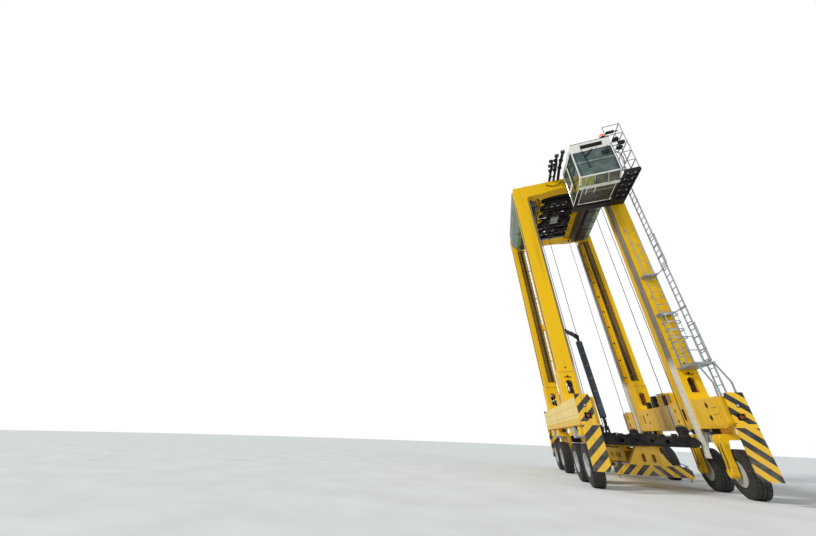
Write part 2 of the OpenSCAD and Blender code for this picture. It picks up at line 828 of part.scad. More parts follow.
module lamp_arms() {
    tip_y = -leg_front - lamp_arm_l;
    color(BLACK) placed() {
        for (x = [-arm_half, arm_half]) {
            along_x(arm_x + x - lamp_arm_t / 2, arm_x + x + lamp_arm_t / 2) {
                polygon([
                    [-leg_front + 60, frame_top], [-leg_front + 420, frame_top],
                    [-leg_front + 300, frame_top + 200], [tip_y, frame_top + 250],
                    [tip_y, frame_top + 130], [-leg_front, frame_top + 60]
                ]);
                translate([tip_y, frame_top + 190]) circle(60);
            }
            translate([arm_x + x, tip_y, frame_top + 240]) cylinder(r = 35, h = 60);
            translate([arm_x + x, tip_y - 70, frame_top + 360]) rotate([-90, 0, 0])
                cylinder(r1 = lamp_r, r2 = 50, h = 140);
        }
        for (y = [tip_y + 60, tip_y + 500, -leg_front - 200])
            pipe([arm_x - arm_half, y, frame_top + 170], [arm_x + arm_half, y, frame_top + 170], 30);
        for (s = [-1, 1])
            pipe([arm_x - s * arm_half, tip_y + 500, frame_top + 170],
                 [arm_x + s * arm_half, tip_y + 60, frame_top + 190], 20);
    }
}

// Flashing beacon and horn on the cab roof
beacon_r = 80;

module beacon_lamps() {
    roof_y = cab_y0 + visor_l + 150;
    color("orange") placed() {
        translate([cab_x1 - 150, roof_y, cab_top]) {
            cylinder(r = beacon_r, h = 40);
            cylinder(r = beacon_r - 15, h = 120);
            translate([0, 0, 120]) sphere(beacon_r - 15);
        }
        translate([cab_x1 - 450, roof_y, cab_top]) {
            cylinder(r = 30, h = 60);
            translate([0, 120, 110]) rotate([90, 0, 0]) cylinder(r1 = 40, r2 = 75, h = 200);
        }
    }
}

// Ladders, landings and the stair at the front right leg
ladder_w = 400;
rung_r = 14;
rung_step = 300;
stile_t = 50;
stile_d = 22;
landing_zs = [4350, 6650, 8500];
landing_t = 40;
toe_t = 20;
toe_h = 70;
landing_reach = 1450;
short_reach = 450;
stay_h = 900;
stay_t = 12;
side_x = half_w - 40;
side_y = -leg_front - 900;
front_ladder_x = sill_x - 10;
front_ladder_y = -leg_front - 250;

// A ladder whose rungs run along X, standing at the origin
module ladder(z0, z1) {
    for (s = [-1, 1])
        span([s * ladder_w / 2 - stile_d / 2, -stile_t / 2, z0],
             [s * ladder_w / 2 + stile_d / 2, stile_t / 2, z1]);
    for (z = [z0 + 150 : rung_step : z1 - 60])
        translate([-ladder_w / 2, 0, z]) rotate([0, 90, 0]) cylinder(r = rung_r, h = ladder_w, $fn = 6);
}

// A ladder whose rungs run along the machine, its front stile at y0
module long_ladder(y0, z0, z1) {
    translate([side_x - stile_t / 2, y0 + ladder_w / 2, 0]) rotate([0, 0, 90]) ladder(z0, z1);
}

// Side ladder up to the walkway, and the ladder on the leg's front between the landings
module ladders() {
    color(GALV) placed() {
        long_ladder(side_y - ladder_w, landing_zs[0] + landing_t, cab_z - walk_t + walk_edge);
        for (i = [0, 1]) {
            translate([front_ladder_x, front_ladder_y, 0])
                ladder(landing_zs[i] + landing_t, landing_zs[i + 1]);
            for (s = [-1, 1])
                span([front_ladder_x + s * ladder_w / 2 - toe_t, front_ladder_y, landing_zs[i] + stay_h],
                     [front_ladder_x + s * ladder_w / 2 + toe_t, -leg_front - slip, landing_zs[i] + stay_h + stay_t]);
        }
    }
}

// Hoop of flat bar round a ladder, its open side at the origin, with returns to the stiles
hoop_r = 290;
hoop_bar = 10;
hoop_h = 45;
hoop_side = 0.6 * hoop_r;

module hoop(z) {
    translate([0, -hoop_side, z]) {
        difference() {
            union() {
                cylinder(r = hoop_r, h = hoop_h);
                span([-hoop_r, 0, 0], [hoop_r, hoop_side, hoop_h]);
            }
            translate([0, 0, -1]) cylinder(r = hoop_r - hoop_bar, h = hoop_h + 2);
            span([-hoop_r + hoop_bar, -1, -1], [hoop_r - hoop_bar, hoop_r + 1, hoop_h + 2]);
        }
        both_sides() span([(ladder_w + stile_d) / 2 + slip, hoop_side - hoop_bar, 0],
                          [hoop_r, hoop_side, hoop_h]);
    }
}

cage_bar = 25;
cage_foot = 1200;

module hoop_cage(z0, z1, count) {
    for (i = [0 : count - 1]) hoop(z0 + i * (z1 - z0 - hoop_h) / (count - 1));
    for (a = [0 : 45 : 180])
        translate([0, -hoop_side, 0]) rotate([0, 0, -a])
            span([hoop_r - hoop_bar - 5, -cage_bar / 2, z0], [hoop_r - hoop_bar + 3, cage_bar / 2, z1]);
}

// Flat bar frame beside the side ladder, seated on the inner faces of its stiles
module guard_frame(z0) {
    frame_h = 1500;
    out_y = side_y - ladder_w - 200;
    x1 = side_x - stile_t - slip;
    for (h = [60, frame_h / 3, 2 * frame_h / 3, frame_h])
        span([x1 - hoop_bar, out_y, z0 + h], [x1, side_y, z0 + h + hoop_h]);
    span([x1 - hoop_bar, out_y, z0 + 60], [x1, out_y + hoop_h, z0 + frame_h + hoop_h]);
}

// Braced frame on the leg's front above the top landing
module braced_frame() {
    top = landing_zs[2] + 2700;
    step = 450;
    foot = landing_zs[2] + landing_t;
    x0 = front_ladder_x - 190;
    x1 = front_ladder_x + 170;
    for (x = [x0, x1]) {
        pipe([x, front_ladder_y, foot], [x, front_ladder_y, top], rail_r);
        pipe([x, front_ladder_y, top - 60], [x, -leg_front - slip, top - 60], rail_r * 0.8);
    }
    for (z = [foot + 60 : 2 * step : top - 2 * step])
        pipe_run([
            [x0, front_ladder_y, z], [x1, front_ladder_y, z + step], [x0, front_ladder_y, z + 2 * step]
        ], rail_r * 0.7);
}

module ladder_cages() {
    color(GALV) placed() {
        translate([front_ladder_x, front_ladder_y + stile_t / 2, 0])
            hoop_cage(landing_zs[0] + cage_foot, landing_zs[1] - stile_t, 4);
        braced_frame();
        for (z = [landing_zs[0] + landing_t, landing_zs[2] + landing_t]) guard_frame(z);
    }
}

// A plate with a toe board along its three free edges
module landing(z, reach, x1, back) {
    y0 = -leg_front - reach;
    difference() {
        span([leg_in, y0, z], [x1, -leg_front - back - slip, z + toe_h]);
        span([leg_in + toe_t, y0 + toe_t, z + landing_t], [x1 - toe_t, -leg_front, z + toe_h + 1]);
    }
}

// The railing round the inner and front edge of the long landing
module landing_rail() {
    rail_h = 1050;
    z = landing_zs[0];
    x0 = leg_in + toe_t / 2 + rail_r;
    x1 = sill_x;
    y0 = -leg_front - landing_reach + toe_t / 2 + rail_r;
    y1 = -leg_front - 300;
    for (p = [[x0, y1], [x0, (y0 + y1) / 2], [x0, y0], [x1, y0]])
        pipe([p[0], p[1], z + landing_t - 1], [p[0], p[1], z + rail_h], rail_r);
    for (h = [rail_h / 2, rail_h]) {
        pipe([x0, y1, z + h], [x0, y0, z + h], rail_r * 0.8);
        pipe([x0, y0, z + h], [x1, y0, z + h], rail_r * 0.8);
    }
}

module landings() {
    arm_x1 = side_x - stile_t - slip;
    color(GALV) placed() {
        landing(landing_zs[0], landing_reach, half_w - 10, flange_out);
        landing_rail();
        for (z = [landing_zs[1], landing_zs[2]]) {
            landing(z, short_reach, arm_x1, 0);
            span([arm_x1 - toe_t, side_y - ladder_w - 60, z], [arm_x1, -leg_front - 200, z + landing_t]);
        }
    }
}

// Lower ladder from the side frame up to the first landing, with bowed handrails
module stair() {
    foot_y = -sill_l / 2 + 60;
    mid_z = sill_top + 450;
    top_y = -leg_front - landing_reach;
    color(GALV) placed() {
        long_ladder(-leg_front - 1400, sill_top, landing_zs[0] - slip);
        for (x = [side_x - stile_t / 2, leg_in + 3 * toe_t])
            along_x(x - rail_r, x + rail_r) bent_outline([
                [foot_y, sill_top], [foot_y - 40, mid_z], [top_y - 60, landing_zs[0] - 40],
                [top_y - rail_r - slip, landing_zs[0]], [top_y - rail_r - slip, landing_zs[0] + toe_h]
            ], rail_r);
    }
}

// Energy chains in their troughs on the inner faces of the rear legs
chain_w = 200;
chain_t = 80;
trough_t = 15;
chain_y = leg_front - 700;

module cable_chains() {
    low_z = collar_z + 200;
    high_z = rail_top - 60;
    color(BLACK) placed() both_sides() {
        span([leg_in - chain_t, chain_y + trough_t, low_z + 100],
             [leg_in - trough_t + 1, chain_y + chain_w - trough_t, high_z - 100]);
        span([leg_in - trough_t, chain_y, low_z], [leg_in, chain_y + chain_w, high_z]);
        for (y = [chain_y, chain_y + chain_w - trough_t])
            span([leg_in - chain_t - 20, y, low_z], [leg_in - trough_t + 1, y + trough_t, high_z]);
    }
}

// Headblock with its rope sheaves
head_x = strip_x - gap;
head_top = head_z + head_h;
head_w = 380;
roller_r = 90;
roller_l = 140;
sheave_r = 180;
sheave_x = strip_x - 310;
sheave_t = 110;
sheave_z = head_top + sheave_r + 40;
sheave_pin_r = 45;
cheek_t = 30;
long_x = 700;
long_w = 240;
long_z = head_z + 40;
head_hole_r = 80;
head_chamfer = 90;

module roller_box() {
    fork_t = 60;
    span([head_x - 320, -rail_y + roller_l / 2 + gap, head_z + 20],
         [head_x - 40, -head_y - head_w / 2 + 1, head_top - 20]);
    for (y = [-rail_y - roller_l / 2 - gap - fork_t, -rail_y + roller_l / 2 + gap])
        along_y(y, y + fork_t) {
            translate([head_x - 320, head_z + 20]) square([280 - head_h / 2 + 20, head_h - 40]);
            translate([head_x - 40 - head_h / 2 + 20, head_z + head_h / 2]) circle(head_h / 2 - 20);
        }
    span([head_x - 320, -rail_y - roller_l / 2 - gap - fork_t, head_z + 20],
         [head_x - 260, -rail_y + roller_l / 2 + gap + 1, head_top - 20]);
    translate([head_x - roller_r, -rail_y, head_z + head_h / 2]) rotate([90, 0, 0]) {
        cylinder(r = roller_r, h = roller_l, center = true);
        cylinder(r = 30, h = roller_l + 2 * gap + 2, center = true);
    }
}

// Cross beam of the headblock, chamfered at its ends and lightened with round holes
module head_beam() {
    end_x = head_x - 40;
    along_y(-head_y - head_w / 2, -head_y + head_w / 2) difference() {
        polygon([
            [-end_x, head_z + head_chamfer], [-end_x + head_chamfer, head_z],
            [end_x - head_chamfer, head_z], [end_x, head_z + head_chamfer],
            [end_x, head_top], [-end_x, head_top]
        ]);
        for (x = [-1, 1])
            for (k = [0.3, 0.9]) translate([x * k * end_x * 0.5, head_z + head_h / 2]) circle(head_hole_r);
    }
}

module headblock() {
    color(NAVY) placed() {
        both_ends() {
            head_beam();
            both_sides() roller_box();
        }
        for (s = [-1, 1])
            span([s * long_x - long_w / 2, -head_y, long_z],
                 [s * long_x + long_w / 2, head_y, head_top - 40]);
        arm_foot_bracket();
    }
}

// Grooved sheave between two cheeks
module sheave_block() {
    for (y = [-1, 1])
        translate([0, -head_y + y * (sheave_t / 2 + 20 + cheek_t / 2), 0])
            along_y(-cheek_t / 2, cheek_t / 2) {
                translate([sheave_x, sheave_z]) circle(110);
                polygon([
                    [sheave_x - 160, head_top], [sheave_x + 160, head_top],
                    [sheave_x + 100, sheave_z + 20], [sheave_x - 100, sheave_z + 20]
                ]);
            }
    translate([sheave_x, -head_y, sheave_z]) rotate([90, 0, 0]) {
        rotate_extrude() polygon([
            [0, -sheave_t / 2], [sheave_r, -sheave_t / 2], [sheave_r, -rope_r],
            [sheave_r - rope_r, 0], [sheave_r, rope_r], [sheave_r, sheave_t / 2], [0, sheave_t / 2]
        ]);
        cylinder(r = sheave_pin_r, h = sheave_t + 100, center = true);
    }
}

module rope_sheaves() {
    color(BLACK) placed() both_ends() both_sides() sheave_block();
}

// Hoist ropes, two falls seated in the groove of each corner sheave
rope_r = 14;
rope_top = beam_z;
rope_x = sheave_r - rope_r + sqrt(2) * (rope_r + slip);

module hoist_ropes() {
    color(BLACK) placed() both_ends() both_sides()
        for (dx = [-1, 1])
            translate([sheave_x + dx * rope_x, -head_y, sheave_z])
                cylinder(r = rope_r, h = rope_top - sheave_z);
}

// Telescopic spreader
frame_l = 4700;
frame_w = 1240;
frame_z = 820;
frame_h = 520;
tube_w = 230;
tube_h = 380;
tube_z = frame_z + 70;
tube_l = 4300;
tube_wall = 20;
front_tube_x = 165;
rear_tube_x = 445;
cross_y = 1900;
cross_w = 300;
window_l = 620;
window_h = 200;

module spreader_frame() {
    windows = [-1.5, -0.5, 0.5, 1.5];
    color(YELLOW) placed() {
        difference() {
            span([-frame_w / 2, -frame_l / 2, frame_z], [frame_w / 2, frame_l / 2, frame_z + frame_h]);
            for (x = [-rear_tube_x, -front_tube_x, front_tube_x, rear_tube_x])
                span([x - tube_w / 2 - gap, -frame_l / 2 - 1, tube_z - slip],
                     [x + tube_w / 2 + gap, frame_l / 2 + 1, tube_z + tube_h + gap]);
            for (k = windows)
                along_x(-frame_w / 2 - 1, frame_w / 2 + 1)
                    round_rect([k * frame_l / 5 - window_l / 2, tube_z + tube_h / 2 - window_h / 2],
                               [k * frame_l / 5 + window_l / 2, tube_z + tube_h / 2 + window_h / 2], 80);
        }
        both_ends() {
            both_sides()
                along_x(500 - 90, 500 + 90) polygon([
                    [-cross_y - 260, frame_z + frame_h - 1], [-cross_y + 260, frame_z + frame_h - 1],
                    [-cross_y + cross_w / 2, head_z - 60], [-cross_y - cross_w / 2, head_z - 60]
                ]);
            span([-long_x - long_w / 2, -cross_y - cross_w / 2, head_z - 61],
                 [long_x + long_w / 2, -cross_y + cross_w / 2, long_z]);
        }
    }
}

end_h = 360;
end_z = 430;
end_w = 300;
end_chamfer = 110;
lock_drop = 130;
lock_r = 28;
mast_low = 700;

module spreader_end(tube_x) {
    y_out = box_l / 2;
    end_top = end_z + end_h;
    mast_top = tube_x + tube_w / 2 + 40;
    mast_z = head_z - 3 * gap;
    along_y(-y_out, -y_out + end_w) difference() {
        union() {
            polygon([
                [-box_w / 2, end_z], [box_w / 2, end_z], [box_w / 2, end_top - end_chamfer],
                [box_w / 2 - end_chamfer, end_top], [-box_w / 2 + end_chamfer, end_top],
                [-box_w / 2, end_top - end_chamfer]
            ]);
            polygon([
                [-mast_low, end_top - 1], [mast_low, end_top - 1], [mast_top, mast_z], [-mast_top, mast_z]
            ]);
        }
        both_sides() round_rect([tube_x - 60, end_top + 120], [tube_x + 60, tube_z + tube_h - 80], 40);
    }
    both_sides() {
        difference() {
            span([tube_x - tube_w / 2, -y_out + end_w - 1, tube_z],
                 [tube_x + tube_w / 2, -y_out + tube_l, tube_z + tube_h]);
            span([tube_x - tube_w / 2 + tube_wall, -y_out + end_w + 200, tube_z + tube_wall],
                 [tube_x + tube_w / 2 - tube_wall, -y_out + tube_l + 1, tube_z + tube_h - tube_wall]);
        }
        translate([lock_w / 2, -lock_l / 2, end_z - lock_drop]) cylinder(r = lock_r, h = lock_drop + 1);
        translate([lock_w / 2, -lock_l / 2, end_z - 30]) cylinder(r = 80, h = 31);
    }
}

module spreader_end_front() {
    color(YELLOW) placed() spreader_end(front_tube_x);
}

module spreader_end_rear() {
    color(YELLOW) placed() mirror([0, 1, 0]) spreader_end(rear_tube_x);
}

// Two-link cable arm between the rear left leg and the headblock
arm_plane = 300 - sheave_x;
arm_pivot = [arm_plane, 2350, 8100];
arm_elbow = [arm_plane, -2350, 6250];
arm_foot = [arm_plane, -head_y, 2120];
arm_w = 160;
arm_plate_t = 70;
arm_eye_r = 90;
arm_pin_r = 35;
arm_side_gap = 6;

function arm_angle(a, b) = atan2(b[2] - a[2], b[1] - a[1]);

// Bar of a link from a to b with a round eye at each end
module link_bar(a, b, w) {
    translate([0, a[1], a[2]]) rotate([arm_angle(a, b), 0, 0])
        span([arm_plane - arm_plate_t / 2, 0, -w / 2], [arm_plane + arm_plate_t / 2, norm(b - a), w / 2]);
}

module arm_disc(at, r, x0, x1) {
    translate([x0, at[1], at[2]]) rotate([0, 90, 0]) cylinder(r = r, h = x1 - x0);
}

module cable_arm_upper() {
    fork_t = 30;
    x_in = arm_plate_t / 2 + arm_side_gap;
    color(BLACK) placed() {
        difference() {
            union() {
                link_bar(arm_pivot, arm_elbow, arm_w);
                arm_disc(arm_pivot, arm_eye_r, arm_plane - arm_plate_t / 2, arm_plane + arm_plate_t / 2);
                for (s = [-1, 1])
                    translate([s * (x_in + fork_t / 2), 0, 0])
                        arm_disc(arm_elbow, arm_eye_r, arm_plane - fork_t / 2, arm_plane + fork_t / 2);
                translate([0, arm_elbow[1], arm_elbow[2]]) rotate([arm_angle(arm_elbow, arm_pivot), 0, 0])
                    for (s = [-1, 1])
                        translate([arm_plane + s * (x_in + fork_t / 2), 0, 0])
                            span([-fork_t / 2, 0, -arm_w / 2], [fork_t / 2, 420, arm_w / 2]);
                translate([0, arm_elbow[1], arm_elbow[2]]) rotate([arm_angle(arm_elbow, arm_pivot), 0, 0])
                    span([arm_plane - x_in - 1, 200, -arm_w / 2], [arm_plane + x_in + 1, 420, arm_w / 2]);
            }
            arm_disc(arm_elbow, 200, arm_plane - x_in, arm_plane + x_in);
            arm_disc(arm_pivot, arm_pin_r + slip, arm_plane - 100, arm_plane + 100);
        }
        arm_disc(arm_elbow, arm_pin_r, arm_plane - x_in - 1, arm_plane + x_in + 1);
    }
}

module cable_arm_lower() {
    color(BLACK) placed() difference() {
        union() {
            link_bar(arm_elbow, arm_foot, arm_w);
            for (at = [arm_elbow, arm_foot])
                arm_disc(at, arm_eye_r, arm_plane - arm_plate_t / 2, arm_plane + arm_plate_t / 2);
        }
        arm_disc(arm_elbow, arm_pin_r + slip, arm_plane - 100, arm_plane + 100);
    }
}

// Bracket on the rear left leg with the pivot pin
module arm_bracket() {
    x_face = arm_plane - arm_plate_t / 2 - arm_side_gap;
    color(YELLOW) placed() {
        translate([0, 0, arm_pivot[2]]) linear_extrude(300, center = true) polygon([
            [-leg_in + slip, arm_pivot[1] - 120], [x_face, arm_pivot[1] - 70],
            [x_face, arm_pivot[1] + 120], [-leg_in + 60, chain_y - gap], [-leg_in + slip, chain_y - gap]
        ]);
        span([-leg_in + slip, arm_pivot[1] + 150, arm_pivot[2] - 250],
             [-leg_in + 40, chain_y - gap, arm_pivot[2] + 250]);
        arm_disc(arm_pivot, arm_pin_r, x_face - 1, arm_plane + arm_plate_t / 2 + 30);
    }
}

// Fork on the headblock that takes the foot of the arm
module arm_foot_bracket() {
    x_in = arm_plate_t / 2 + arm_side_gap;
    for (s = [-1, 1])
        translate([arm_plane + s * (x_in + 15) - 15, 0, 0]) {
            along_x(0, 30) {
                polygon([
                    [-head_y - 130, head_top - 1], [-head_y + 130, head_top - 1],
                    [-head_y + 80, arm_foot[2]], [-head_y - 80, arm_foot[2]]
                ]);
                translate([arm_foot[1], arm_foot[2]]) circle(80);
            }
        }
}

// Steered wheel units: a swan-neck arm over and down the inner side of each tyre
hub_z = tyre_r;
crown_z = sill_z - kingpin_house_h - gap;
neck_t = 190;
arm_t = 150;
arm_face = tyre_w / 2 + 35;
crown_half = 330;
hub_half = 170;
flank_r = 900;
motor_cap_r = 150;
motor_cap_t = 45;

// The arm seen from the side, broad at the top with hollow flanks
module arm_side() {
    difference() {
        union() {
            polygon([
                [-crown_half, crown_z], [-crown_half, crown_z - 260], [-hub_half, hub_z],
                [hub_half, hub_z], [crown_half, crown_z - 260], [crown_half, crown_z]
            ]);
            translate([0, hub_z]) circle(hub_half);
        }
        for (s = [-1, 1]) translate([s * (flank_r + hub_half + 15), hub_z + 420]) circle(flank_r, $fn = 120);
    }
}

// The arm seen from the front, bent over the tyre with a round outer corner
module arm_front() {
    difference() {
        round_rect([-arm_face - arm_t, hub_z - 2 * hub_half], [kingpin_house_r, crown_z], 175);
        round_rect([-arm_face, hub_z - 4 * hub_half], [arm_face + arm_t, crown_z - neck_t], 90);
    }
}

module knuckle_right(y) {
    translate([wheel_x, y, 0]) {
        intersection() {
            along_x(-arm_face - arm_t - 1, kingpin_house_r + 1) arm_side();
            along_y(-crown_half - 1, crown_half + 1) arm_front();
        }
        translate([0, 0, crown_z - neck_t]) cylinder(r = kingpin_house_r, h = neck_t);
        translate([0, 0, crown_z - 1]) cylinder(r = kingpin_r, h = kingpin_bore_h - 60);
        translate([-arm_face - arm_t - motor_cap_t, 0, hub_z]) rotate([0, 90, 0])
            cylinder(r = motor_cap_r, h = motor_cap_t + 1);
        translate([-arm_face - 1, 0, hub_z]) rotate([0, 90, 0]) cylinder(r = spindle_r, h = arm_face + 60);
    }
}

// Tyre, dished rim and hub in one revolve, with round shoulders and two tread grooves
shoulder_r = 70;
rim_r = 380;
disc_x = 20;
disc_t = 40;
hub_r = 170;
hub_l = 60;
groove_w = 24;
groove_d = 22;
bolt_r = 14;
bolt_count = 10;
bolt_circle_r = 225;

module tyre_outline() {
    difference() {
        round_rect([rim_r, -tyre_w / 2], [tyre_r, tyre_w / 2], shoulder_r);
        for (s = [-1, 1])
            translate([tyre_r - groove_d, s * tyre_w / 6 - groove_w / 2]) square([groove_d + 1, groove_w]);
    }
}

module rim_outline() {
    polygon([
        [spindle_r + slip, -2 * hub_l], [hub_r, -2 * hub_l], [hub_r + 20, disc_x - disc_t],
        [rim_r - 60, disc_x - disc_t], [rim_r - 25, -tyre_w / 2 + 25], [rim_r + shoulder_r, -tyre_w / 2 + 25],
        [rim_r + shoulder_r, tyre_w / 2 - 25], [rim_r - 15, tyre_w / 2 - 25], [rim_r - 40, disc_x + 60],
        [rim_r - 100, disc_x], [hub_r + 20, disc_x], [hub_r, hub_l], [spindle_r + slip, hub_l]
    ]);
}

module wheel_right(y) {
    translate([wheel_x, y, hub_z]) rotate([0, 90, 0]) {
        rotate_extrude() {
            tyre_outline();
            rim_outline();
        }
        for (i = [1 : bolt_count])
            rotate(i * 360 / bolt_count) translate([bolt_circle_r, 0, disc_x - 1])
                cylinder(r = bolt_r, h = 25);
    }
}

module knuckle(side, i) {
    color(YELLOW) placed() if (side > 0) knuckle_right(wheel_ys[i]);
    else mirror([1, 0, 0]) knuckle_right(wheel_ys[i]);
}

module wheel(side, i) {
    color(BLACK) placed() if (side > 0) wheel_right(wheel_ys[i]);
    else mirror([1, 0, 0]) wheel_right(wheel_ys[i]);
}

sill_left();
sill_right();
leg_front_left();
leg_front_right();
leg_rear_left();
leg_rear_right();
beam_front();
beam_rear();
girders();
side_house_left();
side_house_right();
machinery_deck();
guide_rails();
drive_units();
sill_boxes();
guards();
cab_shell();
cab_glass();
cab_seat();
cab_platform();
platform_rails();
lamp_arms();
beacon_lamps();
ladders();
landings();
stair();
ladder_cages();
cable_chains();
hoist_drum_front();
hoist_drum_rear();
hoist_ropes();
arm_bracket();
headblock();
rope_sheaves();
spreader_frame();
spreader_end_front();
spreader_end_rear();
cable_arm_upper();
cable_arm_lower();
knuckle(-1, 0);  // knuckle_l1
knuckle(-1, 1);  // knuckle_l2
knuckle(-1, 2);  // knuckle_l3
knuckle(-1, 3);  // knuckle_l4
knuckle(1, 0);  // knuckle_r1
knuckle(1, 1);  // knuckle_r2
knuckle(1, 2);  // knuckle_r3
knuckle(1, 3);  // knuckle_r4
wheel(-1, 0);  // wheel_l1
wheel(-1, 1);  // wheel_l2
wheel(-1, 2);  // wheel_l3
wheel(-1, 3);  // wheel_l4
wheel(1, 0);  // wheel_r1
wheel(1, 1);  // wheel_r2
wheel(1, 2);  // wheel_r3
wheel(1, 3);  // wheel_r4
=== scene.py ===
import json
from math import cos, pi, radians, sin

import bmesh
import bpy
from mathutils import Matrix, Vector


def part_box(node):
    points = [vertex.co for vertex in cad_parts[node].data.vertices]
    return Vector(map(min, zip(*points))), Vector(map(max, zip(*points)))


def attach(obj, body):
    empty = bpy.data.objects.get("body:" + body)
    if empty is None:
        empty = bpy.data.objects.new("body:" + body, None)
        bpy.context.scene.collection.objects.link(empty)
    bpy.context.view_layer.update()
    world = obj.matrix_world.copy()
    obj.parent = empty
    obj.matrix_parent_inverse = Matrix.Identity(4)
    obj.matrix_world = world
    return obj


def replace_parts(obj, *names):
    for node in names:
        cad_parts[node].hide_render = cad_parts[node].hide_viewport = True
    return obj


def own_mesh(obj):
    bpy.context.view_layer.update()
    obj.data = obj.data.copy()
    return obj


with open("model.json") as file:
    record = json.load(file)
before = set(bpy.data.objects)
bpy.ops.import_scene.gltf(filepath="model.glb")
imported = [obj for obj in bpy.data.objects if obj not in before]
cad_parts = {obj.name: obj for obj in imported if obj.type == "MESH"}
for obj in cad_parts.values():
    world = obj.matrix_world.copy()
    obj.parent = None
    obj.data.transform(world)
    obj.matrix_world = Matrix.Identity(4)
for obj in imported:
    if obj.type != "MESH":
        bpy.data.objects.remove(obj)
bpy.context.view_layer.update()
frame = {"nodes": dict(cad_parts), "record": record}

# Places and sizes of the machine, in metres, with y counted from the middle of the wheelbase
MID_Y = 0.29
HALF_W = 2.45
SILL_X = 2.13
INNER_X = 1.81
SILL_TOP = 3.15
COLLAR_Z = 4.45
BEAM_Z = 14.44
LEG_FRONT = 3.45
DECK_Z = 14.64
DECK_TOP = 14.80
ROPE_X = 1.40
ROPE_Y = 2.95
ROPE_HALF = 0.1862
SHEAVE_Z = 2.07
GUIDE_Y = 3.24
RUNG_PITCH = 0.30
DRUM_Y = 1.10
DRUM_Z = 15.09
CAB_Y = -6.0
CAB_BACK = -3.85
CAB_X = (0.11, 1.81)
CAB_Z = 12.90

# Camera as the photograph's was, with a small shift that brings in the side that the photograph cuts off
CAMERA_AT = (-5.35, -21.67, 1.613)
CAMERA_YAW = -24.05
CAMERA_PITCH = 26.42
CAMERA_ROLL = 2.0
LENS = 14.54
SHIFT_X = 0.08


def make_camera():
    data = bpy.data.cameras.new("camera")
    data.lens = LENS
    data.shift_x = SHIFT_X
    data.clip_end = 400
    camera = bpy.data.objects.new("camera", data)
    bpy.context.scene.collection.objects.link(camera)
    turn = (Matrix.Rotation(radians(-CAMERA_YAW), 4, "Z")
            @ Matrix.Rotation(radians(90 + CAMERA_PITCH), 4, "X")
            @ Matrix.Rotation(radians(CAMERA_ROLL), 4, "Z"))
    camera.matrix_world = Matrix.Translation(CAMERA_AT) @ turn
    bpy.context.scene.camera = camera


# Finishes


def srgb(r, g, b):
    """A colour written in bytes, as linear light."""
    return tuple(((c / 255 + 0.055) / 1.055) ** 2.4 if c > 10 else c / 255 / 12.92 for c in (r, g, b))


class Finish:
    """A material's shader nodes, joined by short calls. Places are read in the row frame."""

    def __init__(self, name, rough=0.5, metallic=0.0, coat=0.0):
        self.mat = bpy.data.materials.new(name)
        self.mat.use_nodes = True
        self.tree = self.mat.node_tree
        self.shader = self.tree.nodes["Principled BSDF"]
        self.shader.inputs["Metallic"].default_value = metallic
        self.shader.inputs["Coat Weight"].default_value = coat
        self.shader.inputs["Roughness"].default_value = rough
        self.coords = self.node("ShaderNodeTexCoord").outputs["Object"]
        self.axes = None

    def node(self, kind):
        return self.tree.nodes.new(kind)

    def feed(self, socket, value):
        if isinstance(value, tuple):
            socket.default_value = (*value,
                                    1) if len(value) == 3 and len(socket.default_value) == 4 else value
        elif isinstance(value, (int, float)):
            socket.default_value = value
        else:
            self.tree.links.new(value, socket)

    def axis(self, name):
        if self.axes is None:
            self.axes = self.node("ShaderNodeSeparateXYZ")
            self.feed(self.axes.inputs[0], self.coords)
        return self.axes.outputs[name]

    def noise(self, scale, detail=4, stretch=(1, 1, 1)):
        mapping = self.node("ShaderNodeMapping")
        mapping.inputs["Scale"].default_value = stretch
        self.feed(mapping.inputs[0], self.coords)
        node = self.node("ShaderNodeTexNoise")
        node.inputs["Scale"].default_value = scale
        node.inputs["Detail"].default_value = detail
        self.feed(node.inputs["Vector"], mapping.outputs[0])
        return node.outputs["Fac"]

    def ramp(self, value, low, high, to_low=0.0, to_high=1.0):
        node = self.node("ShaderNodeMapRange")
        for name, number in (("Value", value), ("From Min", low), ("From Max", high),
                             ("To Min", to_low), ("To Max", to_high)):
            self.feed(node.inputs[name], number)
        return node.outputs["Result"]

    def math(self, kind, a, b=0.0, c=0.0):
        node = self.node("ShaderNodeMath")
        node.operation = kind
        for socket, value in zip(node.inputs, (a, b, c)):
            self.feed(socket, value)
        return node.outputs[0]

    def times(self, a, b):
        return self.math("MULTIPLY", a, b)

    def plus(self, a, b):
        return self.math("ADD", a, b)

    def above(self, a, b):
        return self.math("GREATER_THAN", a, b)

    def below(self, a, b):
        return self.math("LESS_THAN", a, b)

    def size_of(self, a):
        return self.math("ABSOLUTE", a)

    def mix(self, factor, a, b):
        node = self.node("ShaderNodeMix")
        node.data_type = "RGBA"
        for socket, value in ((node.inputs[0], factor), (node.inputs[6], a), (node.inputs[7], b)):
            self.feed(socket, value)
        return node.outputs[2]

    def colour(self, value):
        self.feed(self.shader.inputs["Base Color"], value)

    def rough(self, value):
        self.feed(self.shader.inputs["Roughness"], value)

    def bump(self, height, strength, distance):
        node = self.node("ShaderNodeBump")
        node.inputs["Strength"].default_value = strength
        node.inputs["Distance"].default_value = distance
        self.feed(node.inputs["Height"], height)
        self.feed(self.shader.inputs["Normal"], node.outputs[0])


DUST = srgb(158, 146, 124)
GRIME = srgb(58, 48, 38)
PRIMER = srgb(128, 122, 112)
YELLOW = srgb(234, 184, 3)
BLACK = srgb(30, 30, 32)
PAINT_GLOSS = 0.18


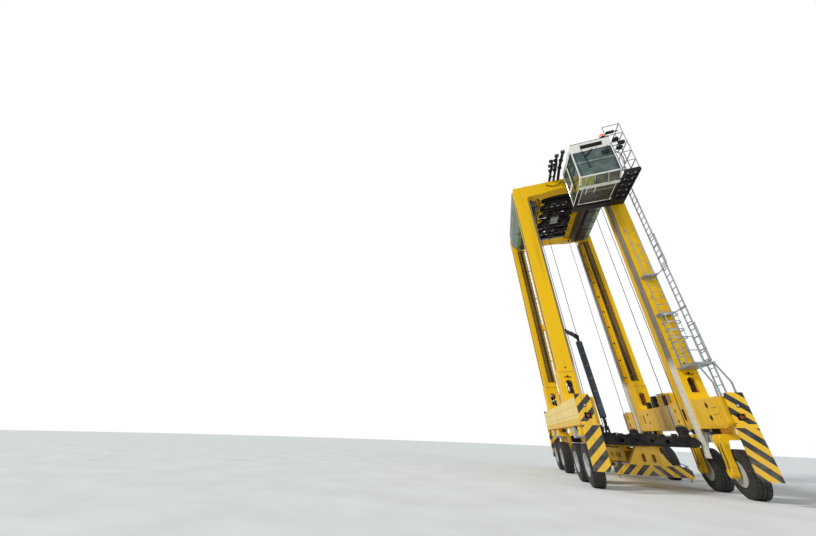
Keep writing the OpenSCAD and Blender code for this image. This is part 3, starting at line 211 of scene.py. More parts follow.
def weather(finish, colour, rough, dust=0.4, streaks=0.35, chips=0.5, fade=0.3):
    """Faded patches, dust low down, rain streaks and chips over a paint colour, with a fine orange peel."""
    patch = finish.ramp(finish.noise(0.55, 5), 0.4, 0.7)
    faded = finish.mix(0.22, colour, DUST)
    shade = finish.mix(finish.times(patch, fade), colour, faded)
    runs = finish.ramp(finish.noise(1.6, 6, (3.2, 3.2, 0.13)), 0.55, 0.72)
    shade = finish.mix(finish.times(runs, streaks), shade, GRIME)
    low = finish.ramp(finish.axis("Z"), 3.4, 0.2)
    speckle = finish.ramp(finish.noise(3.4, 8), 0.38, 0.68)
    shade = finish.mix(finish.times(finish.times(low, speckle), dust), shade, DUST)
    spots = finish.ramp(finish.noise(17.0, 4), 0.70, 0.73)
    shade = finish.mix(finish.times(spots, chips), shade, PRIMER)
    finish.colour(shade)
    finish.rough(finish.plus(finish.ramp(finish.noise(2.6, 6), 0.3, 0.7, rough - 0.06, rough + 0.12),
                             finish.times(runs, 0.15)))
    finish.bump(finish.plus(finish.noise(55.0, 2), finish.times(spots, -0.5)), 0.10, 0.004)


def painted(name, colour, rough=0.38, coat=0.0, metallic=0.0, **wear):
    finish = Finish(name, rough, metallic, coat)
    finish.shader.inputs["Specular IOR Level"].default_value = PAINT_GLOSS
    weather(finish, colour, rough, **wear)
    return finish.mat


def shaded_underside_paint(name, colour, under, below, rough=0.4, **wear):
    """Paint whose faces that look down are painted darker as shade, up to a height."""
    finish = Finish(name, rough)
    facing = finish.node("ShaderNodeSeparateXYZ")
    finish.feed(facing.inputs[0], finish.node("ShaderNodeNewGeometry").outputs["Normal"])
    # Downward faces below the height take the under colour, a painted shade.
    down = finish.times(finish.below(facing.outputs["Z"], -0.85),
                       finish.below(finish.axis("Z"), below))
    weather(finish, finish.mix(down, colour, under), rough, **wear)
    return finish.mat


def striped(name, pitch, low=-1.0, high=99.0, plain=(0.0, 0.0)):
    """Black and yellow bars that lean towards the machine's middle as they rise, but for a plain band."""
    finish = Finish(name, 0.4, 0.0, 0.1)
    slant = finish.plus(finish.axis("Z"), finish.size_of(finish.axis("X")))
    wobble = finish.times(finish.noise(9.0, 3), 0.012)
    phase = finish.math("FRACT", finish.math("DIVIDE", finish.plus(slant, wobble), pitch))
    bars = finish.below(phase, 0.5)
    inside = finish.times(finish.above(finish.axis("Z"), low),
                         finish.below(finish.axis("Z"), high))
    off_band = finish.above(finish.size_of(finish.math(
        "SUBTRACT", finish.axis("Z"), (plain[0] + plain[1]) / 2)), (plain[1] - plain[0]) / 2)
    bars = finish.times(bars, finish.times(inside, off_band))
    weather(finish, finish.mix(bars, YELLOW, BLACK), 0.4, chips=0.8)
    return finish.mat


def make_sill_paint():
    """The machine's yellow, with paler covers on the outer faces: partly paint paled by the sun and partly a
    painted glare highlight.
    """
    finish = Finish("sill_paint", 0.36, 0.0, 0.1)
    outer = finish.times(finish.above(finish.size_of(finish.axis("X")), 2.44),
                        finish.above(finish.axis("Z"), 2.40))
    bleach_and_glare = finish.ramp(finish.noise(1.1, 4), 0.25, 0.7, 0.45, 0.95)
    # The pale cream on the outer covers is partly sun-faded paint and partly a painted glare highlight.
    weather(finish, finish.mix(finish.times(outer, bleach_and_glare), YELLOW, srgb(242, 218, 128)), 0.36,
            dust=0.18, fade=0.12, streaks=0.28)
    return finish.mat


def make_house_paint():
    """Grey-green side panels, dark teal towards the deck, painted dark brown shade underneath with a pale
    green outer strip.
    """
    finish = Finish("house_paint", 0.4, 0.0, 0.1)
    across = finish.size_of(finish.axis("X"))
    strip = finish.times(finish.above(across, 1.98),
                        finish.above(finish.size_of(finish.plus(finish.axis("Y"), -0.6)), 0.09))
    # Below the house the brown is painted shade; the pale green strip runs along its outer edge.
    under = finish.mix(strip, srgb(50, 40, 34), srgb(122, 150, 108))
    side = finish.mix(finish.below(across, 1.30), srgb(126, 134, 124), srgb(34, 46, 46))
    weather(finish, finish.mix(finish.below(finish.axis("Z"), 14.2), side, under), 0.4, streaks=0.6)
    return finish.mat


def make_rope():
    """Greased wire rope: the strands' lay is a slanting wave round each rope."""
    finish = Finish("wire_rope", 0.45, 0.35)
    wave = finish.node("ShaderNodeTexWave")
    wave.bands_direction = "DIAGONAL"
    wave.inputs["Scale"].default_value = 11.0
    wave.inputs["Distortion"].default_value = 0.6
    finish.feed(wave.inputs["Vector"], finish.coords)
    finish.colour(finish.mix(wave.outputs["Fac"], srgb(22, 22, 23), srgb(56, 54, 52)))
    finish.bump(wave.outputs["Fac"], 0.7, 0.004)
    return finish.mat


def make_glass(name, colour, alpha):
    """Tinted pane that the cab's inside shows through, dusty in patches."""
    finish = Finish(name, 0.05, 0.0, 0.6)
    film = finish.ramp(finish.noise(2.4, 7), 0.45, 0.8)
    finish.colour(finish.mix(finish.times(film, 0.5), colour, srgb(150, 160, 150)))
    finish.rough(finish.ramp(film, 0.0, 1.0, 0.03, 0.22))
    finish.feed(finish.shader.inputs["Alpha"], finish.ramp(film, 0.0, 1.0, alpha, min(1.0, alpha + 0.15)))
    finish.bump(finish.noise(0.9, 1), 0.05, 0.01)
    return finish.mat


def make_rubber():
    """Dusty black tyre rubber, greyer where the tread and the sidewall pick up the yard's dust."""
    finish = Finish("tyre", 0.8)
    dusty = finish.ramp(finish.noise(5.0, 8), 0.36, 0.66)
    fine = finish.ramp(finish.noise(42.0, 4), 0.4, 0.7)
    shade = finish.mix(finish.times(dusty, 0.35), srgb(18, 17, 18), srgb(84, 79, 72))
    finish.colour(finish.mix(finish.times(fine, 0.12), shade, srgb(104, 98, 88)))
    finish.rough(finish.ramp(dusty, 0.0, 1.0, 0.62, 0.95))
    finish.bump(finish.plus(finish.noise(120.0, 3), finish.times(dusty, 0.4)), 0.25, 0.004)
    return finish.mat


def make_steel(name, colour, rough, metallic, grain=(1, 1, 1)):
    """Bare or galvanised metal with spangle and brushed wear."""
    finish = Finish(name, rough, metallic)
    cells = finish.node("ShaderNodeTexVoronoi")
    cells.inputs["Scale"].default_value = 26.0
    finish.feed(cells.inputs["Vector"], finish.coords)
    spangle = finish.ramp(cells.outputs["Color"], 0.0, 1.0, 0.0, 0.35)
    stain = finish.ramp(finish.noise(2.1, 6, (2, 2, 0.3)), 0.5, 0.75)
    dull = tuple(c * 0.72 for c in colour)
    shade = finish.mix(spangle, colour, dull)
    finish.colour(finish.mix(finish.times(stain, 0.35), shade, srgb(96, 78, 58)))
    finish.rough(finish.ramp(finish.noise(30.0, 4, grain), 0.3, 0.7, rough - 0.1, rough + 0.15))
    finish.bump(finish.noise(70.0, 3, grain), 0.12, 0.003)
    return finish.mat


def make_guide():
    """Worn pale wear strip: scored along its height, darker and browner in the upper leg."""
    finish = Finish("pale_steel", 0.5, 0.0)
    worn = finish.ramp(finish.noise(7.0, 6, (6, 6, 0.25)), 0.4, 0.7)
    high = finish.ramp(finish.axis("Z"), 4.4, 4.9)
    low_shade = finish.mix(worn, srgb(218, 216, 202), srgb(190, 186, 170))
    high_shade = finish.mix(worn, srgb(146, 134, 112), srgb(104, 94, 80))
    finish.colour(finish.mix(high, low_shade, high_shade))
    finish.rough(finish.ramp(worn, 0.0, 1.0, 0.45, 0.65))
    finish.bump(worn, 0.12, 0.002)
    return finish.mat


def make_seat_cloth():
    finish = Finish("seat", 0.95)
    weave = finish.node("ShaderNodeTexWave")
    weave.inputs["Scale"].default_value = 90.0
    finish.feed(weave.inputs["Vector"], finish.coords)
    finish.colour(finish.mix(finish.ramp(finish.noise(9.0, 5), 0.3, 0.7), srgb(36, 38, 46), srgb(58, 60, 70)))
    finish.bump(weave.outputs["Fac"], 0.4, 0.002)
    return finish.mat


def make_lamp(name, colour, glow):
    """A lit or tinted lens with moulded flutes."""
    finish = Finish(name, 0.12, 0.0, 0.5)
    flutes = finish.node("ShaderNodeTexWave")
    flutes.bands_direction = "Z"
    flutes.inputs["Scale"].default_value = 40.0
    finish.feed(flutes.inputs["Vector"], finish.coords)
    finish.colour(finish.mix(finish.times(flutes.outputs["Fac"], 0.25), colour,
                             tuple(c * 0.6 for c in colour)))
    finish.bump(flutes.outputs["Fac"], 0.4, 0.004)
    finish.shader.inputs["Emission Color"].default_value = (*colour, 1)
    finish.shader.inputs["Emission Strength"].default_value = glow
    return finish.mat


materials = {
    "yellow_paint": painted("yellow_paint", YELLOW, 0.36, dust=0.18, fade=0.12, streaks=0.28),
    "grey_paint": painted("grey_paint", srgb(170, 174, 172), 0.42, streaks=0.6),
    "navy_paint": painted("navy_paint", srgb(17, 18, 26), 0.5, dust=0.12, chips=0.2, fade=0.2),
    "black_steel": painted("black_steel", srgb(28, 28, 30), 0.5, dust=0.18, chips=0.3),
    "white_paint": painted("white_paint", srgb(234, 232, 222), 0.32, 0.2, streaks=0.45),
    "pale_steel": make_guide(),
    "galvanised": make_steel("galvanised", srgb(168, 174, 178), 0.42, 0.55),
    "bright_steel": make_steel("bright_steel", srgb(200, 202, 204), 0.22, 0.95, (1, 1, 8)),
    "tyre": make_rubber(),
    "wire_rope": make_rope(),
    "amber": make_lamp("amber", srgb(250, 104, 14), 0.25),
    "red_lens": make_lamp("red_lens", srgb(134, 30, 18), 0.0),
    "white_lens": make_lamp("white_lens", srgb(176, 184, 184), 0.15),
    "seat": make_seat_cloth(),
    "energy_chain": painted("energy_chain", srgb(44, 38, 34), 0.62, chips=0.5, fade=0.8),
    "hose": painted("hose", srgb(22, 22, 24), 0.55, streaks=0.0, chips=0.15),
    "beige_paint": painted("beige_paint", srgb(206, 188, 150), 0.45, streaks=0.5),
    "brass": make_steel("brass", srgb(190, 160, 92), 0.3, 0.9),
    "green_paint": painted("green_paint", srgb(46, 84, 66), 0.4),
    # Dark ochre that paints the shade on the rear legs' faces
    "painted_shade_ochre": painted("painted_shade_ochre", srgb(134, 98, 26), 0.5, dust=0.2, streaks=0.7),
    "arm_paint": painted("arm_paint", srgb(66, 76, 86), 0.45, dust=0.2),
    "glass": make_glass("glass", srgb(74, 96, 92), 0.62),
    "lime_glass": make_glass("lime_glass", srgb(150, 156, 52), 0.90),
    "olive_glass": make_glass("olive_glass", srgb(72, 70, 38), 0.88),
    "house_paint": make_house_paint(),
    "sill_paint": make_sill_paint(),
    # Cream cab paint whose downward faces below the floor are painted dark as shade
    "cab_paint": shaded_underside_paint("cab_paint", srgb(236, 234, 226), srgb(58, 54, 46), 12.95, 0.32, streaks=0.4),
    "guard_stripes": striped("guard_stripes", 0.50, plain=(2.14, 2.26)),
    "spreader_stripes": striped("spreader_stripes", 0.42, 0.0, 0.80),
}


# Mesh building: shapes are drawn from the middle of the wheelbase and set into the row frame when done


class Shape:
    def __init__(self):
        self.bm = bmesh.new()

    def faces(self, points, faces, slot=0):
        verts = [self.bm.verts.new(p) for p in points]
        for face in faces:
            made = self.bm.faces.new([verts[i] for i in face])
            made.material_index = slot
        return verts

    def plate(self, corners, depth, slot=0):
        """A flat plate: four corners, and the same four moved by depth."""
        pts = [Vector(p) for p in corners]
        pts += [p + Vector(depth) for p in pts]
        self.faces(pts, [(0, 1, 2, 3), (7, 6, 5, 4), (0, 4, 5, 1), (1, 5, 6, 2), (2, 6, 7, 3), (3, 7, 4, 0)],
                   slot)

    def box(self, lo, hi, bevel=0.0, slot=0):
        """A box with its twelve edges cut back by bevel."""
        lo, hi = [min(a, b) for a, b in zip(lo, hi)], [max(a, b) for a, b in zip(lo, hi)]
        b = min([bevel] + [(h - l) * 0.45 for l, h in zip(lo, hi)])
        if b <= 0:
            pts = [(x, y, z) for x in (lo[0], hi[0]) for y in (lo[1], hi[1]) for z in (lo[2], hi[2])]
            self.faces(pts, [(0, 1, 3, 2), (4, 6, 7, 5), (0, 4, 5, 1), (2, 3, 7, 6), (0, 2, 6, 4),
                             (1, 5, 7, 3)], slot)
            return
        index, pts = {}, []
        for cx in (0, 1):
            for cy in (0, 1):
                for cz in (0, 1):
                    corner = (cx, cy, cz)
                    for axis in range(3):
                        p = [(hi if corner[k] else lo)[k] + (0 if k == axis else (-b if corner[k] else b))
                             for k in range(3)]
                        index[corner, axis] = len(pts)
                        pts.append(p)
        faces = []
        for axis in range(3):
            u, v = [k for k in range(3) if k != axis]
            for side in (0, 1):
                ring = []
                for cu, cv in ((0, 0), (1, 0), (1, 1), (0, 1)):
                    corner = [0, 0, 0]
                    corner[axis], corner[u], corner[v] = side, cu, cv
                    ring.append(index[tuple(corner), axis])
                faces.append(ring)
            for cu in (0, 1):
                for cv in (0, 1):
                    ends = []
                    for side in (0, 1):
                        corner = [0, 0, 0]
                        corner[axis], corner[u], corner[v] = side, cu, cv
                        ends.append(tuple(corner))
                    faces.append([index[ends[0], u], index[ends[0], v], index[ends[1], v], index[ends[1], u]])
        for corner in {key[0] for key in index}:
            faces.append([index[corner, 0], index[corner, 1], index[corner, 2]])
        self.faces(pts, faces, slot)

    def prism(self, outline, axis, a, b, slot=0):
        """An outline in the two other axes, drawn out along axis from a to b."""
        u, v = [k for k in range(3) if k != "xyz".index(axis)]
        pts = []
        for end in (a, b):
            for p in outline:
                q = [0, 0, 0]
                q["xyz".index(axis)], q[u], q[v] = end, p[0], p[1]
                pts.append(q)
        n = len(outline)
        self.faces(pts, [list(range(n)), list(range(2 * n - 1, n - 1, -1))]
                   + [[i, n + i, n + (i + 1) % n, (i + 1) % n] for i in range(n)], slot)

    def tube(self, points, r, sides=8, slot=0, ends=True):
        """A round bar along points; r is one radius or one for each point."""
        pts = [Vector(p) for p in points]
        radii = r if isinstance(r, (list, tuple)) else [r] * len(pts)
        tangents = []
        for i in range(len(pts)):
            before = (pts[i] - pts[i - 1]).normalized() if i else None
            after = (pts[i + 1] - pts[i]).normalized() if i < len(pts) - 1 else None
            tangents.append(((before or after) + (after or before)).normalized())
        side = tangents[0].orthogonal().normalized()
        rings = []
        for p, t, radius in zip(pts, tangents, radii):
            side = (side - t * side.dot(t)).normalized()
            up = t.cross(side)
            rings.append([self.bm.verts.new(p + (side * cos(2 * pi * k / sides) + up
                                                 * sin(2 * pi * k / sides)) * radius)
                          for k in range(sides)])
        for one, two in zip(rings, rings[1:]):
            for k in range(sides):
                self.bm.faces.new((one[k], one[(k + 1) % sides], two[(k + 1) % sides],
                                   two[k])).material_index = slot
        if ends:
            for ring in (rings[0], rings[-1]):
                self.bm.faces.new(ring).material_index = slot

    def hose(self, points, r, sides=8, slot=0, steps=6):
        """A tube through points on a smooth curve."""
        self.tube(smooth_line(points, steps), r, sides, slot)

    def rim(self, corners, r, sides=8, slot=0):
        """A bar of its own along each side of a closed outline."""
        for a, b in zip(corners, corners[1:] + corners[:1]):
            self.tube([a, b], r, sides, slot)

    def revolve(self, profile, at, axis, steps=32, slot=0, way=1):
        """Pairs (distance, radius) turned round an axis; radius 0 closes an end, and way -1 faces back."""
        k = "xyz".index(axis)
        u, v = [n for n in range(3) if n != k]
        rings = []
        for along, radius in profile:
            ring = []
            for i in range(steps if radius > 0 else 1):
                p = list(at)
                p[k] += way * along
                p[u] += radius * cos(2 * pi * i / steps)
                p[v] += radius * sin(2 * pi * i / steps)
                ring.append(self.bm.verts.new(p))
            rings.append(ring)
        for one, two in zip(rings, rings[1:]):
            for i in range(steps):
                corners = [one[i % len(one)], one[(i + 1) % len(one)], two[(i + 1) % len(two)],
                           two[i % len(two)]]
                seen = list(dict.fromkeys(corners))
                if len(seen) > 2:
                    self.bm.faces.new(seen).material_index = slot
        for ring in (rings[0], rings[-1]):
            if len(ring) > 1:
                self.bm.faces.new(ring).material_index = slot

    def bolt(self, at, axis, r=0.018, h=0.014, slot=0):
        """A washer with a hexagon head; h is signed along the axis."""
        self.revolve([(0, r * 1.35), (h * 0.25, r * 1.35), (h * 0.3, r)], at, axis, 12, slot)
        self.revolve([(h * 0.2, r), (h * 0.85, r), (h, r * 0.8)], at, axis, 6, slot)

    def bolts(self, points, axis, r=0.018, h=0.014, slot=0):
        for p in points:
            self.bolt(p, axis, r, h, slot)

    def bolt_circle(self, at, radius, count, r, h, slot, turn=0.0):
        """Bolts on a circle round an axis along x; turn is a share of the way to the next bolt."""
        for i in range(count):
            a = 2 * pi * (i + turn) / count
            self.bolt((at[0], at[1] + radius * cos(a), at[2] + radius * sin(a)), "x", r, h, slot)

    def done(self, name, finish, body="chassis", angle=32, extra=()):
        """The piece as an object in the row frame, riding on its body."""
        bmesh.ops.translate(self.bm, verts=self.bm.verts, vec=(0, MID_Y, 0))
        bmesh.ops.recalc_face_normals(self.bm, faces=self.bm.faces)
        for face in self.bm.faces:
            face.smooth = True
        for edge in self.bm.edges:
            edge.smooth = len(edge.link_faces) == 2 and edge.calc_face_angle(pi) < radians(angle)
        mesh = bpy.data.meshes.new(name)
        self.bm.to_mesh(mesh)
        self.bm.free()
        for material in (finish, *extra):
            mesh.materials.append(materials[material])
        piece = bpy.data.objects.new(name, mesh)
        bpy.context.scene.collection.objects.link(piece)
        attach(piece, body)
        return piece


def smooth_line(points, steps=6):
    """Points on a Catmull-Rom curve through the ones given."""
    pts = [Vector(p) for p in points]
    pts = [pts[0] * 2 - pts[1]] + pts + [pts[-1] * 2 - pts[-2]]
    line = []
    for a, b, c, d in zip(pts, pts[1:], pts[2:], pts[3:]):
        for i in range(steps):
            t = i / steps
            line.append(0.5 * ((2 * b) + (c - a) * t + (2 * a - 5 * b + 4 * c - d) * t * t
                               + (3 * b - a - 3 * c + d) * t ** 3))
    return line + [pts[-2]]


def arc(cx, cy, r, a0, a1, n):
    """Points of an arc, in degrees."""
    return [(cx + r * cos(radians(a0 + (a1 - a0) * i / n)), cy + r * sin(radians(a0 + (a1 - a0) * i / n)))
            for i in range(n + 1)]


def rounded(u0, v0, u1, v1, r, n=4):
    """A rectangle's outline with round corners."""
    return (arc(u1 - r, v1 - r, r, 0, 90, n) + arc(u0 + r, v1 - r, r, 90, 180, n)
            + arc(u0 + r, v0 + r, r, 180, 270, n) + arc(u1 - r, v0 + r, r, 270, 360, n))


def place(node):
    """A node's box with y counted from the middle of the wheelbase."""
    lo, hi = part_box(node)
    return Vector((lo.x, lo.y - MID_Y, lo.z)), Vector((hi.x, hi.y - MID_Y, hi.z))


SIDES = (-1, 1)
SIDE_TAGS = ((-1, "l"), (1, "r"))
END_TAGS = ((-1, "f"), (1, "b"))

# Wheels: a treaded tyre and a dished rim in place of each plain wheel

TREAD_BLOCKS = 34


def tread_depth(x, turn):
    """How far the tread is cut in at a place across the tyre, at a share of the way along one block."""
    if abs(x) > 0.185:
        return 0.0
    if 0.035 < abs(x) < 0.062:
        return 0.022
    if abs(x) <= 0.035:
        return 0.0
    along = (turn + 1.6 * abs(x) + (0.5 if x > 0 else 0.0)) % 1.0
    return 0.024 if along > 0.70 else 0.0


def make_tyre(name, centre, body, node):
    across = [(-0.165, 0.375), (-0.178, 0.40), (-0.196, 0.46), (-0.210, 0.53), (-0.2145, 0.60),
              (-0.212, 0.655), (-0.2145, 0.662), (-0.209, 0.675), (-0.205, 0.70), (-0.197, 0.722),
              (-0.186, 0.738)]
    tread = [(-0.184, 0.742), (-0.16, 0.746), (-0.12, 0.748), (-0.085, 0.7495), (-0.0625, 0.75),
             (-0.0615, 0.75), (-0.0355, 0.75), (-0.0345, 0.75), (0.0, 0.75)]
    half = across + tread
    profile = half + [(-x, r) for x, r in reversed(half[:-1])]
    shape = Shape()
    rings = []
    turns = (0.0, 0.22, 0.46, 0.69, 0.71, 0.98)
    for block in range(TREAD_BLOCKS):
        for share in turns:
            angle = 2 * pi * (block + share) / TREAD_BLOCKS
            ring = []
            for x, r in profile:
                deep = r - tread_depth(x, share) if r > 0.741 else r
                ring.append(shape.bm.verts.new((centre.x + x, centre.y + deep * cos(angle),
                                                centre.z + deep * sin(angle))))
            rings.append(ring)
    for i, ring in enumerate(rings):
        other = rings[(i + 1) % len(rings)]
        for k in range(len(profile) - 1):
            shape.bm.faces.new((ring[k], ring[k + 1], other[k + 1], other[k]))
        shape.bm.faces.new((ring[-1], ring[0], other[0], other[-1]))
    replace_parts(shape.done(name, "tyre", body), node)


def make_rim(name, centre, side, body, node):
    """side is the outward direction: the rim is dished there and carries the hub and its bolts."""
    shape = Shape()
    rim = [(-0.195, 0.392), (-0.205, 0.405), (-0.19, 0.41), (-0.175, 0.385), (-0.10, 0.372), (0.10, 0.372),
           (0.175, 0.385), (0.19, 0.41), (0.205, 0.405), (0.197, 0.388), (0.187, 0.372), (0.165, 0.362),
           (0.12, 0.356), (0.10, 0.345), (0.092, 0.325), (0.04, 0.310), (0.015, 0.292), (0.0, 0.262),
           (0.0, 0.172), (-0.03, 0.165), (-0.03, 0.0)]
    shape.revolve(rim, centre, "x", 48, way=side)
    shape.revolve([(-0.19, 0.0), (-0.19, 0.20), (-0.16, 0.24), (-0.03, 0.25), (-0.03, 0.0)], centre, "x", 36,
                  1, side)
    hub = [(-0.028, 0.160), (0.03, 0.158), (0.038, 0.145), (0.075, 0.135), (0.085, 0.095), (0.135, 0.088),
           (0.148, 0.07), (0.152, 0.0)]
    shape.revolve(hub, centre, "x", 32, 1, side)
    shape.bolt_circle(centre, 0.215, 12, 0.019, side * 0.034, 2)
    shape.bolt_circle((centre.x + side * 0.083, centre.y, centre.z), 0.112, 6, 0.010, side * 0.014, 2, 0.5)
    shape.tube([(centre.x + side * 0.01, centre.y, centre.z + 0.30),
                (centre.x + side * 0.07, centre.y, centre.z + 0.30)],
               0.009, 8, 2)
    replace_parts(shape.done(name, "grey_paint", body, extra=("black_steel", "bright_steel")), node)


def make_wheels():
    for sign, side in SIDE_TAGS:
        for i in range(1, 5):
            body = f"wheel_{side}{i}"
            lo, hi = place(body)
            centre = (lo + hi) / 2
            make_tyre(f"tyre_{side}{i}", centre, body, body)
            make_rim(f"rim_{side}{i}", centre, sign, body, body)


def make_knuckle_fittings():
    """Hub motor ribs, hoses, steering lever and bolts on each swan-neck wheel arm."""
    for sign, side in SIDE_TAGS:
        for i in range(1, 5):
            knuckle = f"knuckle_{side}{i}"
            lo, hi = place(f"wheel_{side}{i}")
            c = (lo + hi) / 2
            x = lambda d: c.x + sign * d
            shape = Shape()
            shape.revolve([(-0.395, 0.0), (-0.395, 0.135), (-0.415, 0.15), (-0.418, 0.10), (-0.440, 0.09),
                           (-0.443, 0.0)],
                          c, "x", 28, 1, sign)
            shape.bolt_circle((x(-0.402), c.y, c.z), 0.175, 8, 0.014, -sign * 0.016, 2, 0.5)
            for k in range(5):
                z = 1.02 + 0.13 * k
                shape.box((x(-0.402), c.y - 0.10, z), (x(-0.412), c.y + 0.10, z + 0.012), 0.003)
            for dy in (-0.045, 0.045):
                shape.hose([(x(-0.43), c.y + dy, c.z + 0.02), (x(-0.442), c.y + dy * 1.8, c.z + 0.13),
                            (x(-0.425), c.y + dy * 2.4, 1.15), (x(-0.425), c.y + dy * 2.2, 1.45),
                            (x(-0.38), c.y + dy * 2, 1.72), (x(-0.27), c.y + dy * 1.6, 1.86)], 0.014, 8, 3, 5)
            lever = [(x(-0.10), c.y - 0.16), (x(-0.10), c.y + 0.16), (x(-0.30), c.y + 0.10),
                     (x(-0.40), c.y + 0.05), (x(-0.40), c.y - 0.05), (x(-0.30), c.y - 0.10)]
            shape.prism(lever, "z", 1.90, 1.945)
            shape.revolve([(0, 0.034), (0.02, 0.034), (0.026, 0.022), (0.026, 0.0)], (x(-0.355), c.y, 1.945),
                          "z", 16, 2)
            shape.done(f"arm_fittings_{side}{i}", "yellow_paint", knuckle,
                       extra=("black_steel", "bright_steel", "hose"))


# Cab: seals, wipers, mirror, frame, controls and the seat


def make_cab_seals():
    """Rubber round the front pane and the side windows."""
    (x0, x1), y0, y1 = CAB_X, CAB_Y, CAB_BACK
    seals = Shape()
    pane = [(x0 + 0.10, 13.20), (x1 - 0.10, 13.20), (x1 - 0.10, 14.88), (x0 + 0.10, 14.88)]
    seals.rim([(x, y0 + 0.022, z) for x, z in pane], 0.016)
    for x in (x0 + 0.005, x1 - 0.005):
        for ya, yb in ((y0 + 0.12, -5.02), (-4.94, y1 - 0.12)):
            seals.rim([(x, ya, 13.24), (x, yb, 13.24), (x, yb, 14.84), (x, ya, 14.84)], 0.012, 6)
    seals.done("cab_seals", "hose")


def make_cab_glazing():
    """Bars between the front panes, and the tinted panes of the chin and the left side."""
    (x0, x1), y0, z0 = CAB_X, CAB_Y, CAB_Z
    bars = Shape()
    bars.box((x0 + 0.06, y0 - 0.012, 14.02), (x1 - 0.06, y0 + 0.004, 14.035), 0.004)
    chin_low, chin_top = Vector((0, y0 + 0.52, z0)), Vector((0, y0, z0 + 0.26))
    slope = (chin_top - chin_low).normalized()
    for x, lean in ((0.42, -0.03), (0.74, 0.05), (1.30, 0.03)):
        foot, head = chin_low + slope * 0.05, chin_top - slope * 0.05
        bars.tube([(x + lean, foot.y + 0.012, foot.z + 0.006), (x, head.y + 0.012, head.z + 0.006)], 0.020, 6)
    bars.box((x0 + 0.02, y0 + 0.47, z0 - 0.04), (x1 - 0.02, y0 + 0.66, z0 + 0.02), 0.012)
    for x in (0.46, 0.82):
        bars.box((x - 0.02, y0 + 0.64, z0 - 0.035), (x + 0.02, y0 + 1.12, z0 - 0.005), 0.006)
    bars.done("cab_glazing_bars", "white_paint")

    panes = Shape()
    out = Vector((0, -slope.z, slope.y)) * 0.008
    low, top = chin_low + slope * 0.05 + out, chin_top - slope * 0.05 + out
    for xa, xb, tint in ((x0 + 0.08, 0.40, 1), (0.44, 0.72, 1), (0.76, 1.28, 2), (1.33, x1 - 0.08, 2)):
        a, b = Vector((xa, 0, 0)), Vector((xb, 0, 0))
        panes.plate([a + low, b + low, b + top, a + top], -out * 0.5, tint)
    panes.prism([(y0 + 0.56, 12.95), (y0 + 0.98, 12.95), (y0 + 0.98, 13.20), (y0 + 0.06, 13.20)], "x",
                x0 - 0.004, x0 + 0.002, 1)
    panes.prism([(y0 + 1.04, 12.97), (y0 + 1.98, 12.97), (y0 + 1.98, 13.62), (y0 + 1.04, 13.62)], "x",
                x0 - 0.004, x0 + 0.002, 2)
    panes.done("cab_tinted_panes", "glass", extra=("lime_glass", "olive_glass"))


def make_pillar_trims():
    (x0, x1), y0 = CAB_X, CAB_Y
    trims = Shape()
    for xa, xb in ((x0 + 0.045, x0 + 0.112), (x1 - 0.112, x1 - 0.045)):
        trims.box((xa, y0 - 0.006, 13.19), (xb, y0 + 0.004, 14.74), 0.002)
    trims.box((x0 - 0.006, y0 + 0.045, 13.30), (x0 + 0.004, y0 + 0.105, 14.86), 0.002)
    trims.done("cab_pillar_trims", "arm_paint")


def make_visor():
    """Sun visor over the front pane, with a dark strip and a rubber edge."""
    (x0, x1), y0 = CAB_X, CAB_Y
    visor = Shape()
    visor_low, visor_top = Vector((0, y0 - 0.006, 14.70)), Vector((0, y0 - 0.155, 15.08))
    visor.prism([tuple(visor_low.yz), tuple(visor_top.yz), (visor_top.y, 15.165), (y0 + 0.28, 15.165),
                 (y0 + 0.28, 15.152), (y0, 14.92), (y0 - 0.002, 14.71)], "x", x0 + 0.02, x1 - 0.02)
    up = (visor_top - visor_low).normalized()
    a, b = visor_low + up * 0.13, visor_top - up * 0.08
    out = Vector((0, -up.z, up.y)) * 0.004
    left, right = Vector((x0 + 0.42, 0, 0)), Vector((x1 - 0.36, 0, 0))
    visor.plate([left + a + out, right + a + out, right + b + out, left + b + out], -out * 1.5, 1)
    visor.tube([(x0 + 0.02, visor_top.y - 0.002, 15.142), (x1 - 0.02, visor_top.y - 0.002, 15.142)], 0.013, 8,
               2)
    visor.done("cab_visor", "white_paint", extra=("navy_paint", "hose"))


def make_roof_beacon():
    """Amber beacon, horn and camera at the front of the cab's roof."""
    y0 = CAB_Y
    beacon = Shape()
    at = (1.57, y0 - 0.05, 15.21)
    beacon.revolve([(-0.05, 0.0), (-0.05, 0.07), (0.0, 0.07), (0.0, 0.115), (0.045, 0.115), (0.05, 0.09)], at,
                   "z", 24)
    beacon.revolve([(0.05, 0.09), (0.07, 0.108), (0.16, 0.108), (0.215, 0.085), (0.245, 0.04), (0.252, 0.0)],
                   at, "z", 24, 1)
    beacon.tube([(1.74, y0 - 0.03, 15.165), (1.74, y0 - 0.03, 15.23)], 0.02, 8)
    beacon.revolve([(-0.10, 0.03), (-0.04, 0.036), (0.05, 0.06), (0.09, 0.085), (0.092, 0.0)],
                   (1.74, y0 - 0.03, 15.24), "y", 18)
    beacon.tube([(1.78, y0 + 0.10, 15.155), (1.78, y0 + 0.10, 15.52), (1.86, y0 + 0.04, 15.60)], 0.022, 10)
    beacon.prism(rounded(1.78, 15.46, 2.12, 15.56, 0.03), "y", y0 - 0.06, y0 + 0.06)
    beacon.tube([(2.12, y0, 15.52), (2.30, y0 + 0.02, 15.50)], 0.026, 10)
    beacon.done("roof_beacon", "black_steel", extra=("amber",))


